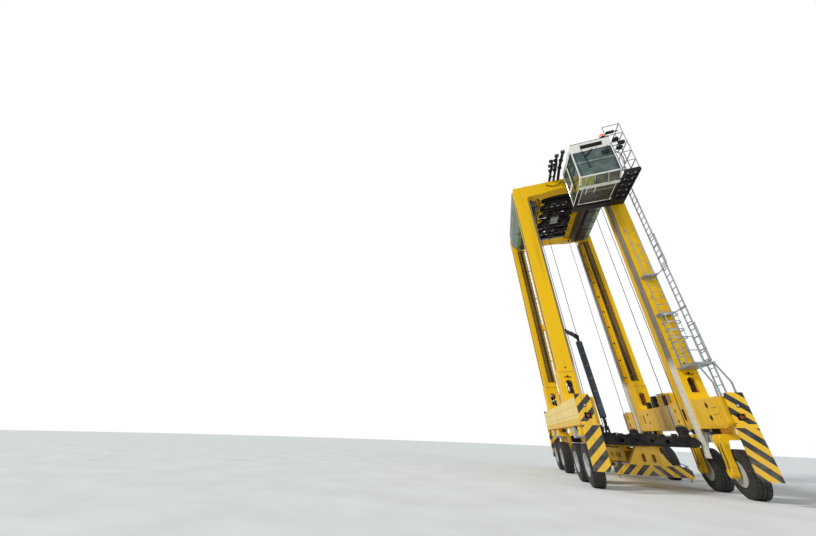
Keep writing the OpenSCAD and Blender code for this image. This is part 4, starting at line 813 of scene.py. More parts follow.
def make_side_cameras():
    """Three cameras on a bent bracket beside the cab, with their cable."""
    x1, y0 = CAB_X[1], CAB_Y
    side = Shape()
    side.tube([(x1 - 0.03, y0 + 0.06, 14.26), (1.96, y0 + 0.04, 14.24), (2.10, y0 + 0.02, 14.40),
               (2.10, y0, 15.06)], 0.026, 10)
    side.tube([(x1 - 0.03, y0 + 0.06, 14.66), (2.10, y0 + 0.02, 14.66), (2.28, y0 + 0.02, 14.70)], 0.022, 10)
    for cx, cz, r in ((2.06, 14.98, 0.085), (2.24, 14.72, 0.075), (2.08, 14.44, 0.07)):
        side.prism(rounded(cx - 0.14, cz - r, cx + 0.10, cz + r, 0.03), "y", y0 - 0.07, y0 + 0.07)
        side.revolve([(0.0, 0.0), (0.0, r * 0.8), (-0.05, r * 0.7), (-0.055, 0.0)],
                     (cx - 0.02, y0 - 0.07, cz), "y", 20)
    side.hose([(1.9, y0 + 0.04, 14.26), (2.02, y0 + 0.10, 14.10), (2.10, y0 + 0.16, 13.90),
               (2.06, y0 + 0.18, 13.60), (1.98, y0 + 0.14, 13.30), (1.90, y0 + 0.14, 13.0)], 0.020, 8, 1, 6)
    side.done("cab_side_cameras", "black_steel", extra=("hose",))


def make_wiper():
    pivot, tip, top, foot = (1.12, 14.86), (0.63, 14.30), (0.58, 14.82), (0.68, 13.62)
    y = CAB_Y - 0.012
    wiper = Shape()
    wiper.revolve([(0, 0.045), (0.03, 0.045), (0.04, 0.03), (0.04, 0.0)], (pivot[0], y, pivot[1]), "y", 16)
    wiper.tube([(pivot[0], y + 0.006, pivot[1]), (tip[0], y + 0.006, tip[1])], [0.026, 0.018], 6)
    wiper.tube([(pivot[0] - 0.09, y + 0.006, pivot[1] - 0.02), (tip[0] - 0.02, y + 0.006, tip[1] + 0.05)],
               [0.014, 0.010], 6)
    wiper.tube([(top[0], y + 0.008, top[1]), (foot[0], y + 0.008, foot[1])], 0.020, 6)
    wiper.box((foot[0] - 0.01, y + 0.002, foot[1] - 0.01), (foot[0] + 0.03, y + 0.014, foot[1] + 0.02), 0.003)
    wiper.done("wipers", "black_steel")


def make_cab_mirror():
    """Mirror in front of the pane, and the rolled blind behind its top."""
    (x0, x1), y0 = CAB_X, CAB_Y
    mirror = Shape()
    mirror.prism(rounded(1.32, 14.26, 1.64, 14.46, 0.06), "y", y0 - 0.06, y0 - 0.03)
    mirror.prism(rounded(1.34, 14.28, 1.62, 14.44, 0.05), "y", y0 - 0.03, y0 - 0.024, 1)
    mirror.tube([(1.50, y0 - 0.045, 14.44), (1.60, y0 - 0.04, 14.58), (1.66, y0 - 0.01, 14.80)], 0.014, 8)
    mirror.box((x0 + 0.12, y0 + 0.07, 14.70), (x1 - 0.12, y0 + 0.085, 14.86), 0.006, 2)
    mirror.done("cab_mirror_and_blind", "black_steel", extra=("bright_steel", "navy_paint"))


def make_cab_ribs():
    """Bars under the cab's floor, drip rails and ribs on its roof."""
    (x0, x1), y0, y1 = CAB_X, CAB_Y, CAB_BACK
    frame_piece = Shape()
    rear = [(x0 + 0.08, 12.915), (x0 + 0.08, 12.86), (x0 + 0.14, 12.82), (x1 - 0.14, 12.82),
            (x1 - 0.08, 12.86), (x1 - 0.08, 12.915)]
    rim = [(x, -4.0 - 0.16 * abs((x - x0) / (x1 - x0) * 2 - 1) ** 2, z) for x, z in rear]
    frame_piece.tube(rim, 0.028, 8)
    for x in (x0 + 0.16, x1 - 0.16):
        frame_piece.tube([(x, -5.34, 12.87), (x, -4.1, 12.86)], 0.020, 8)
    for z in (13.02, 15.02):
        for x, s in ((x0, -1), (x1, 1)):
            frame_piece.box((x + s * 0.004, y0 + 0.55, z), (x - s * 0.008, y1 - 0.05, z + 0.012), 0.003)
    for k in range(7):
        y = y0 + 0.45 + k * 0.26
        frame_piece.box((x0 + 0.25, y, 15.145), (x1 - 0.25, y + 0.05, 15.165), 0.006)
    frame_piece.done("cab_frame_ribs", "white_paint")


def make_cab_doors():
    """Seams, hinges, latches and grab bars of the doors in the cab's sides."""
    door = [(-4.90, 13.02), (-4.02, 13.02), (-4.02, 14.92), (-4.90, 14.92)]
    fit = Shape()
    for x, s in zip(CAB_X, SIDES):
        fit.rim([(x + s * 0.001, y, z) for y, z in door], 0.007, 5, 1)
        for z in (13.25, 14.70):
            fit.tube([(x + s * 0.012, -4.02, z - 0.07), (x + s * 0.012, -4.02, z + 0.07)], 0.016, 10)
        fit.hose([(x, -4.83, 13.80), (x + s * 0.035, -4.83, 13.82), (x + s * 0.035, -4.83, 13.98),
                  (x, -4.83, 14.0)], 0.011, 8, 0, 4)
        fit.hose([(x, -4.12, 13.35), (x + s * 0.045, -4.12, 13.38), (x + s * 0.045, -4.12, 14.25),
                  (x, -4.12, 14.28)], 0.014, 8, 0, 4)
    fit.done("cab_door_furniture", "bright_steel", extra=("hose",))


def make_cab_screen():
    screen = Shape()
    screen.prism(rounded(1.30, 13.95, 1.62, 14.20, 0.02), "y", -5.52, -5.48, 1)
    screen.prism(rounded(1.32, 13.97, 1.60, 14.18, 0.015), "y", -5.475, -5.482, 2)
    screen.tube([(1.46, -5.49, 13.95), (1.46, -5.44, 13.60), (1.40, -5.30, 13.20), (1.38, -5.26, 12.97)],
                0.018, 8)
    screen.hose([(0.30, -5.70, 13.10), (0.32, -5.66, 13.5), (0.30, -5.64, 13.86)], 0.016, 8, 0, 4)
    screen.box((0.35, -5.62, 13.04), (1.55, -5.52, 13.10), 0.012, 1)
    screen.done("cab_screen", "black_steel", extra=("hose", "navy_paint"))


def make_seat():
    """Pedestal, slides and armrest consoles, with two padded cushions."""
    cx, cy, z0 = 0.96, -4.75, 12.96
    base = Shape()
    base.revolve([(0, 0.0), (0, 0.15), (0.025, 0.15), (0.035, 0.12), (0.04, 0.072), (0.30, 0.068),
                  (0.31, 0.12), (0.335, 0.12), (0.335, 0.0)], (cx, cy, z0), "z", 28)
    for x in (-0.17, 0.17):
        base.box((cx + x - 0.03, cy - 0.24, z0 + 0.325), (cx + x + 0.03, cy + 0.24, z0 + 0.345), 0.005, 1)
    base.prism(rounded(cx - 0.22, z0 + 0.40, cx + 0.22, z0 + 1.10, 0.06), "y", cy + 0.30, cy + 0.318)
    for s in SIDES:
        x = cx + s * 0.445
        base.prism(rounded(cy - 0.30, z0 + 0.42, cy + 0.16, z0 + 0.63, 0.06, 6), "x", x - 0.113, x + 0.113)
        base.prism(rounded(x - 0.09, cy - 0.10, x + 0.09, cy + 0.14, 0.04), "z", z0 + 0.628, z0 + 0.64, 2)
        base.tube([(x, cy - 0.06, z0), (x, cy - 0.06, z0 + 0.43)], 0.045, 20)
        base.box((cx + s * 0.255, cy - 0.10, z0 + 0.34), (cx + s * 0.335, cy, z0 + 0.40), 0.008)
        base.revolve([(0.0, 0.034), (0.012, 0.030), (0.03, 0.012), (0.06, 0.011), (0.066, 0.020),
                      (0.10, 0.024), (0.117, 0.016), (0.12, 0.0)], (x, cy - 0.21, z0 + 0.638), "z", 16)
        for k in range(6):
            at = (x - 0.05 + 0.05 * (k % 3), cy - 0.12 + 0.04 * (k // 3), z0 + 0.64)
            base.revolve([(0, 0.011), (0.010, 0.011), (0.013, 0.007), (0.013, 0.0)], at, "z", 10, 3 + k % 2)
    pieces = [base.done("seat_frame", "black_steel", extra=("bright_steel", "hose", "amber", "red_lens"))]
    for name, lo, hi, face in (
            ("seat_cushion", (cx - 0.255, cy - 0.255, z0 + 0.345), (cx + 0.255, cy + 0.185, z0 + 0.455), "z"),
            ("seat_back", (cx - 0.255, cy + 0.185, z0 + 0.47), (cx + 0.255, cy + 0.305, z0 + 1.17), "y")):
        pieces.append(make_cushion(name, Vector(lo), Vector(hi), face))
    for piece in pieces:
        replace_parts(piece, "cab_seat")


def make_cushion(name, lo, hi, face):
    """A pad blown up by cloth pressure, with two sewn channels across its face and piping round its edge."""
    start = Shape()
    inset = Vector((0.012, 0.012, 0.012))
    start.box(lo + inset, hi - inset, 0.028)
    mesh = bpy.data.meshes.new(name + "_start")
    bmesh.ops.recalc_face_normals(start.bm, faces=start.bm.faces)
    start.bm.to_mesh(mesh)
    start.bm.free()
    pad = bpy.data.objects.new(name + "_start", mesh)
    scene = bpy.context.scene
    scene.collection.objects.link(pad)
    remesh = pad.modifiers.new("remesh", "REMESH")
    remesh.mode = "VOXEL"
    remesh.voxel_size = 0.010
    even = bpy.data.meshes.new_from_object(pad.evaluated_get(bpy.context.evaluated_depsgraph_get()))
    pad.modifiers.clear()
    pad.data = even
    rest = [v.co.copy() for v in even.vertices]
    cloth = pad.modifiers.new("cloth", "CLOTH")
    cloth.settings.use_pressure = True
    cloth.settings.uniform_pressure_force = 4
    cloth.settings.effector_weights.gravity = 0
    for frame_number in range(1, 21):
        scene.frame_set(frame_number)
    blown = bpy.data.meshes.new_from_object(pad.evaluated_get(bpy.context.evaluated_depsgraph_get()))
    scene.frame_set(1)
    piece = Shape()
    piece.bm.from_mesh(blown)
    bpy.data.objects.remove(pad)
    piece.bm.verts.ensure_lookup_table()
    k = "xyz".index(face)
    middle = (lo + hi) / 2
    for v, old in zip(piece.bm.verts, rest):
        move = v.co - old
        if move.length > 0.011:
            move = move.normalized() * 0.011
        v.co = old + move
        outward = 1 if face == "z" else -1
        if (v.co[k] - middle[k]) * outward > 0.02:
            for seam in (-0.10, 0.10):
                v.co[k] -= outward * 0.007 * max(0.0, 1 - abs(v.co.x - middle.x - seam) / 0.016)
    u, v = [n for n in range(3) if n != k]
    edge = hi[k] - 0.030 if face == "z" else lo[k] + 0.030
    ring = []
    for a, b in rounded(lo[u] + 0.006, lo[v] + 0.006, hi[u] - 0.006, hi[v] - 0.006, 0.045, 5):
        p = [0.0, 0.0, 0.0]
        p[u], p[v], p[k] = a, b, edge
        ring.append(p)
    piece.tube(ring + ring[:1], 0.005, 6, 1)
    return piece.done(name, "seat", angle=70, extra=("hose",))


def make_beacon_lens():
    """Amber lens with its rings over the rear beacon on the cab's roof."""
    shape = Shape()
    at = (1.66, -5.59, 15.15)
    shape.revolve([(0.0, 0.0), (0.0, 0.075), (0.03, 0.075), (0.035, 0.062)], at, "z", 24)
    shape.revolve([(0.035, 0.062), (0.05, 0.068), (0.12, 0.066), (0.155, 0.05), (0.176, 0.02), (0.18, 0.0)],
                  at, "z", 24, 1)
    for k in range(4):
        z = 15.20 + 0.025 * k
        shape.revolve([(0, 0.0675), (0.004, 0.070), (0.008, 0.0675)], (at[0], at[1], z), "z", 24, 1)
    shape.done("beacon_lens", "black_steel", extra=("amber",))


# Guards' lamps, sill covers, leg flanges and wear strips


def make_guard_lamps():
    """A round lamp and a red rear reflector box behind each guard, with their cable."""
    for sx in SIDES:
        for sy in SIDES:
            shape = Shape()
            y = 5.575 * sy
            lamp = (sx * 2.19, y, 2.83)
            shape.revolve([(-0.06, 0.0), (-0.06, 0.048), (0.012, 0.052), (0.018, 0.046)], lamp, "y", 24, 0,
                          sy)
            shape.revolve([(0.012, 0.046), (0.022, 0.03), (0.024, 0.0)], lamp, "y", 24, 1, sy)
            shape.box((sx * 2.05, y - sy * 0.10, 2.38), (sx * 2.27, y - sy * 0.085, 2.56), 0.004)
            shape.box((sx * 2.10, y - sy * 0.085, 2.41), (sx * 2.22, y - sy * 0.02, 2.53), 0.012)
            shape.prism(rounded(sx * 2.16 - 0.05, 2.42, sx * 2.16 + 0.05, 2.52, 0.02), "y", y - sy * 0.02,
                        y + sy * 0.004, 2)
            shape.hose([(sx * 2.19, y - sy * 0.06, 2.83), (sx * 2.17, y - sy * 0.10, 2.74),
                        (sx * 2.16, y - sy * 0.09, 2.62), (sx * 2.16, y - sy * 0.07, 2.53)], 0.008, 6, 0, 5)
            shape.done(f"guard_lamp_{'l' if sx < 0 else 'r'}{'f' if sy < 0 else 'b'}", "black_steel",
                       extra=("white_lens", "red_lens"))


def make_sill_details():
    """Bolted edges of the inner covers, hinges and handles of the outer doors, pipes and the beige band, and
    black discs as painted shade in the round holes.
    """
    for sx, tag in SIDE_TAGS:
        shape = Shape()
        inner = sx * 1.79
        for sy in SIDES:
            for y in (4.16, 4.68, 5.19):
                for z in (2.26, 3.04):
                    shape.bolt((inner, sy * y, z), "x", 0.016, -sx * 0.012, 1)
            for z in (2.49, 2.64, 2.86):
                shape.bolt((inner, sy * 5.19, z), "x", 0.016, -sx * 0.012, 1)
            for z0 in (2.49, 2.91):
                hole = (inner, sy * 4.60, z0)
                shape.revolve([(0.0, 0.112), (0.008, 0.110), (0.008, 0.096), (-0.04, 0.094)], hole, "x", 28,
                              0, -sx)
                # A black disc in the hole: painted shade where the hole goes dark.
                shape.revolve([(-0.01, 0.0), (-0.01, 0.092), (0.004, 0.092), (0.004, 0.0)], hole, "x", 28, 2,
                              -sx)
        for y, z in ((-1.86, 2.88), (-1.84, 2.47), (1.45, 2.90), (1.46, 2.52)):
            hole = (sx * INNER_X, y, z)
            shape.revolve([(-0.01, 0.085), (0.006, 0.085), (0.006, 0.070), (-0.01, 0.068)], hole, "x", 24, 0,
                          -sx)
            # A black disc in the hole: painted shade where the hole goes dark.
            shape.revolve([(-0.01, 0.0), (-0.01, 0.069), (0.003, 0.069), (0.003, 0.0)], hole, "x", 24, 2, -sx)
        for z in (2.58, 2.80):
            shape.box((sx * 1.786, -5.22, z), (sx * 1.80, -4.86, z + 0.012), 0.002, 2)
        for y in (-2.52, 2.12):
            shape.prism(rounded(y - 0.055, 2.50, y + 0.055, 2.92, 0.05), "x", sx * (INNER_X - 0.004),
                        sx * (INNER_X + 0.01), 2)
        for y in (-0.35, 0.35):
            shape.box((sx * (INNER_X - 0.004), y - 0.01, 2.24), (sx * (INNER_X + 0.01), y + 0.01, 3.06),
                      0.002, 2)
        for y in (-4.9, -3.1, -1.3, 0.5, 2.3, 4.1):
            for z in (2.22, 3.08):
                shape.tube([(sx * (HALF_W - 0.012), y, z), (sx * (HALF_W - 0.012), y + 0.16, z)], 0.012, 8, 2)
            if abs(y) > 1.4:
                foot, grip = sx * (HALF_W - 0.03), sx * (HALF_W - 0.016)
                shape.hose([(foot, y + 0.7, 2.66), (grip, y + 0.72, 2.66), (grip, y + 0.84, 2.66),
                            (foot, y + 0.86, 2.66)], 0.010, 6, 1, 4)
        for y0, y1 in ((-3.9, -1.9), (1.9, 3.9)):
            for z in (2.10, 2.06):
                shape.tube([(sx * 1.90, y0, z), (sx * 1.90, y1, z)], 0.018, 8, 3)
            for y in (y0 + 0.1, (y0 + y1) / 2 - 0.2, y1 - 0.5):
                shape.box((sx * 2.02, y, 1.98), (sx * 2.30, y + 0.38, 2.152), 0.02, 2)
            for k in range(5):
                y = y0 + (y1 - y0) * k / 4
                shape.box((sx * 1.87, y - 0.02, 2.03), (sx * 1.93, y + 0.02, 2.155), 0.004, 1)
        shape.done(f"sill_fittings_{tag}", "yellow_paint", extra=("bright_steel", "black_steel", "hose"))
        band = Shape()
        band.box((sx * (INNER_X - 0.004), -1.56, 2.18), (sx * (INNER_X + 0.01), -1.05, 3.13), 0.003)
        for z in (2.25, 3.05):
            for y in (-1.50, -1.11):
                band.bolt((sx * (INNER_X - 0.004), y, z), "x", 0.013, -sx * 0.010, 1)
        band.done(f"sill_band_{tag}", "beige_paint", extra=("bright_steel",))


def leg_depth(z):
    """A leg's depth along the machine, which tapers towards the top."""
    return 1.15 - 0.35 * (z - SILL_TOP) / 11.29


def make_leg_details():
    """Collar bolts, weld beads, conduits and round covers on each leg."""
    for sx, tx in SIDE_TAGS:
        for sy, ty in END_TAGS:
            shape = Shape()
            front = sy * LEG_FRONT
            back = sy * (LEG_FRONT - leg_depth(COLLAR_Z))
            for z, h in ((COLLAR_Z + 0.02, 0.02), (COLLAR_Z - 0.02, -0.02)):
                for k in range(5):
                    x = sx * (1.87 + 0.13 * k)
                    for y in (front + sy * 0.012, back - sy * 0.012):
                        shape.bolt((x, y, z), "z", 0.008, h, 1)
            # weld bead under the beam
            z = BEAM_Z - 0.012
            x_in, x_out, y_in = sx * 1.83, sx * 2.43, sy * (LEG_FRONT - leg_depth(z))
            shape.rim([(x_in, front, z), (x_out, front, z), (x_out, y_in, z), (x_in, y_in, z)], 0.010, 6)
            # conduit and clips on the leg's outer face
            x = sx * 2.436
            for off in (0.0, 0.05):
                y_of = lambda z: sy * (LEG_FRONT - leg_depth(z) * 0.5 - off)
                shape.tube([(x, y_of(4.6), 4.6), (x, y_of(14.2), 14.2)], 0.012, 6, 2)
            for k in range(9):
                z = 4.9 + 1.12 * k
                y = sy * (LEG_FRONT - leg_depth(z) * 0.5 - 0.025)
                shape.box((sx * 2.43, y - 0.06, z), (sx * 2.448, y + 0.06, z + 0.03), 0.003, 1)
            # small round covers above the oval
            for z, r in ((4.22, 0.045), (4.62, 0.035)):
                shape.revolve([(-0.01, r), (0.006, r), (0.010, r * 0.7), (0.010, 0.0)],
                              (sx * SILL_X, front, z), "y", 20, 3, sy)
            shape.done(f"leg_fittings_{tx}{ty}", "yellow_paint",
                       extra=("bright_steel", "hose", "black_steel"))


def make_rear_leg_shade_plates():
    """A dark ochre plate over the inner half of each rear leg's face as painted shade, with a chain down it,
    and a ladder beside the left one.
    """
    z0, z1 = COLLAR_Z + 0.25, 14.0
    face = lambda z: LEG_FRONT - leg_depth(z)
    for sx, tag in SIDE_TAGS:
        shape = Shape()
        # The wide plate and the cross brackets are painted shade in dark ochre; the narrow strips at its
        # edges and the links are the black chain.
        for xa, xb, out, slot in ((1.90, 2.18, 0.010, 0), (1.89, 1.91, 0.045, 1), (2.17, 2.19, 0.045, 1)):
            shape.plate([(sx * xa, face(z0) - out, z0), (sx * xb, face(z0) - out, z0),
                         (sx * xb, face(z1) - out, z1), (sx * xa, face(z1) - out, z1)], (0, out + 0.01, 0),
                         slot)
        for k in range(74):
            z = z0 + 0.06 + 0.124 * k
            y = face(z) - 0.036
            shape.box((sx * 1.93, y, z), (sx * 2.03, y + 0.03, z + 0.10), 0.008, 1)
        for k in range(9):
            z = z0 + 0.3 + 1.05 * k
            shape.box((sx * 1.87, face(z) - 0.050, z), (sx * 2.21, face(z) + 0.005, z + 0.03), 0.004)
        shape.done(f"leg_shade_plate_{tag}", "painted_shade_ochre", extra=("energy_chain",))

    ladder = Shape()
    for x in (-1.79, -1.47):
        ladder.tube([(x, 2.62, 3.35), (x, 2.62, 14.05)], 0.018, 8)
    for k in range(35):
        z = 3.55 + RUNG_PITCH * k
        ladder.tube([(-1.79, 2.62, z), (-1.47, 2.62, z)], 0.012, 6)
    for z in (3.9, 6.0, 8.1, 10.2, 12.3, 13.9):
        for x in (-1.79, -1.47):
            ladder.box((-1.84, 2.63, z), (x + 0.02, 2.70, z + 0.05), 0.004)
    ladder.done("rear_leg_ladder", "galvanised")


def make_guide_bolts():
    """Countersunk screws in the wear strips, and the bolts beside them."""
    shape = Shape()
    for sx in SIDES:
        for sy in SIDES:
            for k in range(26):
                z = 1.30 + 0.5 * k
                for dy in (-0.045, 0.045):
                    shape.revolve([(-0.002, 0.016), (0.0005, 0.016), (0.0005, 0.010), (-0.003, 0.0)],
                                  (sx * 1.7105, sy * GUIDE_Y + dy, z), "x", 10, 0, -sx)
            for k in range(13):
                z = 1.55 + 0.98 * k
                for dy in (-0.13, 0.13):
                    shape.bolt((sx * 1.74, sy * GUIDE_Y + dy, z), "x", 0.014, -sx * 0.010, 1)
    shape.done("guide_bolts", "black_steel", extra=("bright_steel",))


def make_oval_fittings():
    """Valve block, filter bowl and pipes seen through the ovals in the leg feet."""
    for sx, tx in SIDE_TAGS:
        for sy, ty in END_TAGS:
            shape = Shape()
            y = sy * (LEG_FRONT - 0.18)
            shape.box((sx * 2.03, y - 0.06, 3.46), (sx * SILL_X, y + 0.06, 3.70), 0.012)
            shape.box((sx * 2.02, y - 0.05, 3.76), (sx * 2.17, y + 0.08, 3.99), 0.03)
            shape.revolve([(-sy * 0.05, 0.0), (-sy * 0.05, 0.06), (sy * 0.05, 0.065), (sy * 0.06, 0.05),
                           (sy * 0.06, 0.0)],
                          (sx * SILL_X, y, 3.88), "y", 20)
            shape.revolve([(0, 0.04), (0.03, 0.045), (0.14, 0.045), (0.16, 0.02), (0.16, 0.0)],
                          (sx * 2.20, y, 3.44), "z", 18, 1)
            shape.hose([(sx * 2.08, y, 3.70), (sx * 2.07, y, 3.86), (sx * 2.14, y + sy * 0.02, 3.98),
                        (sx * 2.20, y, 4.06)],
                       0.018, 8, 2, 5)
            shape.hose([(sx * 2.20, y, 3.60), (sx * 2.22, y, 3.76), (sx * 2.16, y, 3.90),
                        (sx * 2.10, y, 4.03)], 0.014, 8, 2, 5)
            shape.hose([(sx * 2.12, y, 3.42), (sx * 2.12, y - sy * 0.10, 3.40),
                        (sx * 2.12, y - sy * 0.35, 3.42), (sx * 2.12, y - sy * 0.60, 3.50)], 0.02, 8, 2, 5)
            shape.done(f"foot_valves_{tx}{ty}", "black_steel", extra=("red_lens", "hose"))


# Energy chains, machinery deck and side houses


def make_energy_chains():
    """Linked chain in its trough up the inner face of each rear leg."""
    y0, y1, low, top, pitch = 2.75, 2.95, 4.65, 14.06, 0.092
    for sx, tag in SIDE_TAGS:
        shape = Shape()
        shape.box((sx * 1.815, y0, low), (sx * 1.829, y1, top), 0.002, 1)
        for y in (y0, y1 - 0.012):
            shape.box((sx * 1.732, y, low), (sx * 1.82, y + 0.012, top), 0.003, 4)
        z = 4.75
        while z < 13.90:
            shape.box((sx * 1.752, y0 + 0.022, z), (sx * 1.812, y0 + 0.048, z + 0.082), 0.008)
            shape.box((sx * 1.752, y1 - 0.048, z), (sx * 1.812, y1 - 0.022, z + 0.082), 0.008)
            shape.box((sx * 1.748, y0 + 0.04, z + 0.025), (sx * 1.756, y1 - 0.04, z + 0.058), 0.003)
            z += pitch
        for j, r in enumerate((0.017, 0.013, 0.017, 0.011)):
            y = y0 + 0.066 + 0.023 * j
            shape.tube([(sx * 1.785, y, 4.70), (sx * 1.785, y, 14.0)], r * 0.8, 6, 2)
        for k in range(10):
            z = 4.9 + k
            shape.box((sx * 1.735, y0 - 0.05, z), (sx * 1.829, y0, z + 0.05), 0.004, 1)
            shape.bolt((sx * 1.822, y0 - 0.028, z + 0.025), "x", 0.010, -sx * 0.010, 3)
        piece = shape.done(f"energy_chain_{tag}", "energy_chain",
                           extra=("black_steel", "hose", "bright_steel", "yellow_paint"))
        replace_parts(piece, "cable_chains")


def make_deck_hoses():
    """Hoses and pipework on the open machinery deck, seen mostly from below."""
    pipes = Shape()
    for k, x in enumerate((-0.86, -0.80, -0.74, 0.66, 0.72, 0.78, 0.84)):
        z = DECK_Z - 0.03 - 0.012 * (k % 2)
        pipes.tube([(x, -2.5, z), (x, 2.5, z)], 0.014 + 0.005 * (k % 3), 8)
    for k, y in enumerate((-2.10, -1.50, -0.62, 0.62, 1.48, 2.10)):
        z = DECK_Z - 0.055
        pipes.tube([(-0.92, y, z), (0.92, y, z)], 0.020, 8)
        pipes.hose([(-0.5, y, z), (-0.3, y + 0.10, z - 0.06), (0.0, y + 0.14, z - 0.09),
                    (0.3, y + 0.10, z - 0.06), (0.5, y, z)],
                   0.018, 8, 0, 6)
    for s in SIDES:
        for k in range(4):
            x = s * (0.36 + 0.05 * k)
            pipes.hose([(x, s * 0.43, 14.92), (x + s * 0.06, s * 0.60, 14.99),
                        (x + s * 0.10, s * 0.78, 14.90), (x + s * 0.08, s * 0.86, 14.72),
                        (x + s * 0.02, s * 0.90, 14.62)], 0.016, 8, 0, 6)
        pipes.hose([(s * 0.60, s * 0.30, 15.16), (s * 0.70, s * 0.52, 15.22), (s * 0.82, s * 0.62, 15.05),
                    (s * 0.84, s * 0.66, 14.80), (s * 0.84, s * 0.66, 14.62)], 0.022, 10, 0, 6)
    pipes.done("deck_hoses", "hose")


def make_deck_valves():
    """Valve blocks, junction boxes, drum bearings and motor ribs."""
    blocks = Shape()
    for s in SIDES:
        for k in range(3):
            x = -0.55 + 0.5 * k
            y = s * 2.18
            blocks.box((x - 0.16, y - 0.16, DECK_TOP), (x + 0.16, y + 0.14, DECK_TOP + 0.24), 0.02)
            blocks.box((x - 0.13, y - 0.12, DECK_TOP + 0.24), (x + 0.13, y + 0.10, DECK_TOP + 0.26), 0.008, 1)
            for dx in (-0.1, 0.0, 0.1):
                blocks.revolve([(0, 0.0), (0, 0.03), (0.11, 0.03), (0.13, 0.018), (0.13, 0.0)],
                               (x + dx, y, DECK_TOP + 0.26), "z", 14, 1)
        for k in range(5):
            x = -0.62 + 0.31 * k
            blocks.box((x - 0.09, s * 1.72 - 0.07, DECK_Z - 0.10), (x + 0.09, s * 1.72 + 0.07, DECK_Z), 0.012)
            blocks.box((x - 0.075, s * 1.72 - 0.055, DECK_Z - 0.106),
                       (x + 0.075, s * 1.72 + 0.055, DECK_Z - 0.10), 0.004, 1)
    for y in (-0.30, 0.0, 0.30):
        blocks.box((-0.22, y - 0.10, DECK_Z - 0.09), (0.22, y + 0.10, DECK_Z + 0.01), 0.015, 1)
        for dx in (-0.17, 0.17):
            for dy in (-0.07, 0.07):
                blocks.bolt((dx, y + dy, DECK_Z - 0.09), "z", 0.012, -0.012, 2)
    for s in SIDES:
        for side in SIDES:
            at = (side * 0.805, s * DRUM_Y, DRUM_Z)
            blocks.revolve([(0.0, 0.0), (0.048, 0.0), (0.048, 0.115), (0.060, 0.115), (0.066, 0.085),
                            (0.080, 0.075), (0.080, 0.0)], at, "x", 24, 0, side)
            blocks.bolt_circle((side * 0.864, at[1], at[2]), 0.098, 6, 0.010, side * 0.010, 2)
    for s in SIDES:
        for k in range(9):
            x = s * (0.36 + 0.05 * k)
            blocks.revolve([(0, 0.166), (0, 0.182), (0.010, 0.182), (0.010, 0.166)], (x, s * 0.215, 15.03),
                           "x", 24)
        blocks.box((s * 0.42, s * 0.215 - 0.08, 15.18), (s * 0.60, s * 0.215 + 0.08, 15.27), 0.015, 1)
    blocks.done("deck_valves", "black_steel", extra=("grey_paint", "bright_steel"))


def make_cable_trays():
    """Trays with their cables along the deck's edges, brackets and two cross pipes."""
    tray = Shape()
    for s in SIDES:
        x = s * 0.985
        tray.box((x - 0.03, -2.6, 14.57), (x + 0.03, 2.6, 14.585), 0.002)
        for y in [k * 0.4 - 2.6 for k in range(14)]:
            tray.box((x - 0.05, y, 14.555), (x + 0.05, y + 0.03, 14.645), 0.003)
        for k in range(3):
            tray.tube([(x - 0.02 + 0.02 * k, -2.55, 14.598), (x - 0.02 + 0.02 * k, 2.55, 14.598)], 0.010, 6,
                      1)
    for y in (-2.25, -1.25, -0.25, 0.75, 1.75):
        tray.prism([(-1.05, 14.63), (-0.72, 14.63), (-0.80, 14.50), (-1.05, 14.44)], "y", y, y + 0.14)
        tray.prism([(1.05, 14.63), (0.88, 14.63), (0.90, 14.52), (1.05, 14.48)], "y", y, y + 0.10)
    tray.tube([(-0.95, 2.45, 14.55), (0.95, 2.45, 14.55)], 0.045, 14, 2)
    tray.tube([(-0.60, 2.36, 14.52), (0.20, 2.36, 14.52)], 0.075, 16, 2)
    tray.done("deck_cable_trays", "yellow_paint", extra=("hose", "grey_paint"))


def make_deck_machinery():
    """Pumps and boxes that hang under the deck: middle, width, length and lower side of each."""
    z1 = 14.66
    boxes = ((-0.55, -1.95, 0.30, 0.36, 14.46), (0.10, -2.05, 0.34, 0.26, 14.50),
             (0.62, -1.80, 0.26, 0.46, 14.48), (-0.62, -0.95, 0.24, 0.50, 14.50),
             (0.02, -1.00, 0.42, 0.30, 14.44), (0.60, -0.80, 0.30, 0.34, 14.50),
             (-0.55, 0.25, 0.34, 0.40, 14.46), (0.58, 0.30, 0.28, 0.60, 14.48),
             (-0.10, 1.05, 0.36, 0.34, 14.46), (-0.62, 1.40, 0.26, 0.42, 14.50),
             (0.56, 1.45, 0.34, 0.30, 14.46), (0.0, 2.00, 0.46, 0.24, 14.50))
    clutter = Shape()
    for k, (x, y, w, l, z0) in enumerate(boxes):
        clutter.box((x - w / 2, y - l / 2, z0), (x + w / 2, y + l / 2, z1), 0.03, k % 3 == 1)
        clutter.tube([(x - w / 2 - 0.06, y - l / 2 - 0.05, z0 + 0.09),
                      (x + w / 2 + 0.08, y - l / 2 - 0.05, z0 + 0.09)], 0.028, 10, 2)
        clutter.revolve([(0.0, 0.0), (0.0, 0.07), (0.04, 0.075), (0.06, 0.05), (0.06, 0.0)],
                        (x, y, z0 - 0.055), "z", 18, k % 2)
        clutter.hose([(x - w / 2, y, z0 + 0.04), (x - w / 2 - 0.10, y + 0.08, z0 - 0.02),
                      (x - w / 2 - 0.14, y + 0.24, z0 + 0.04), (x - w / 2 - 0.10, y + 0.36, z0 + 0.12)],
                      0.020, 8, 2, 5)
    for y in (-1.42, 0.70):
        clutter.box((-0.86, y - 0.06, 14.50), (0.86, y + 0.06, 14.60), 0.02)
    clutter.tube([(-0.90, -2.30, 14.56), (0.90, -2.30, 14.56)], 0.05, 12, 2)
    clutter.tube([(-0.30, -0.40, 14.50), (-0.30, 0.60, 14.50)], 0.04, 12, 2)
    clutter.done("deck_machinery", "black_steel", extra=("energy_chain", "hose"))


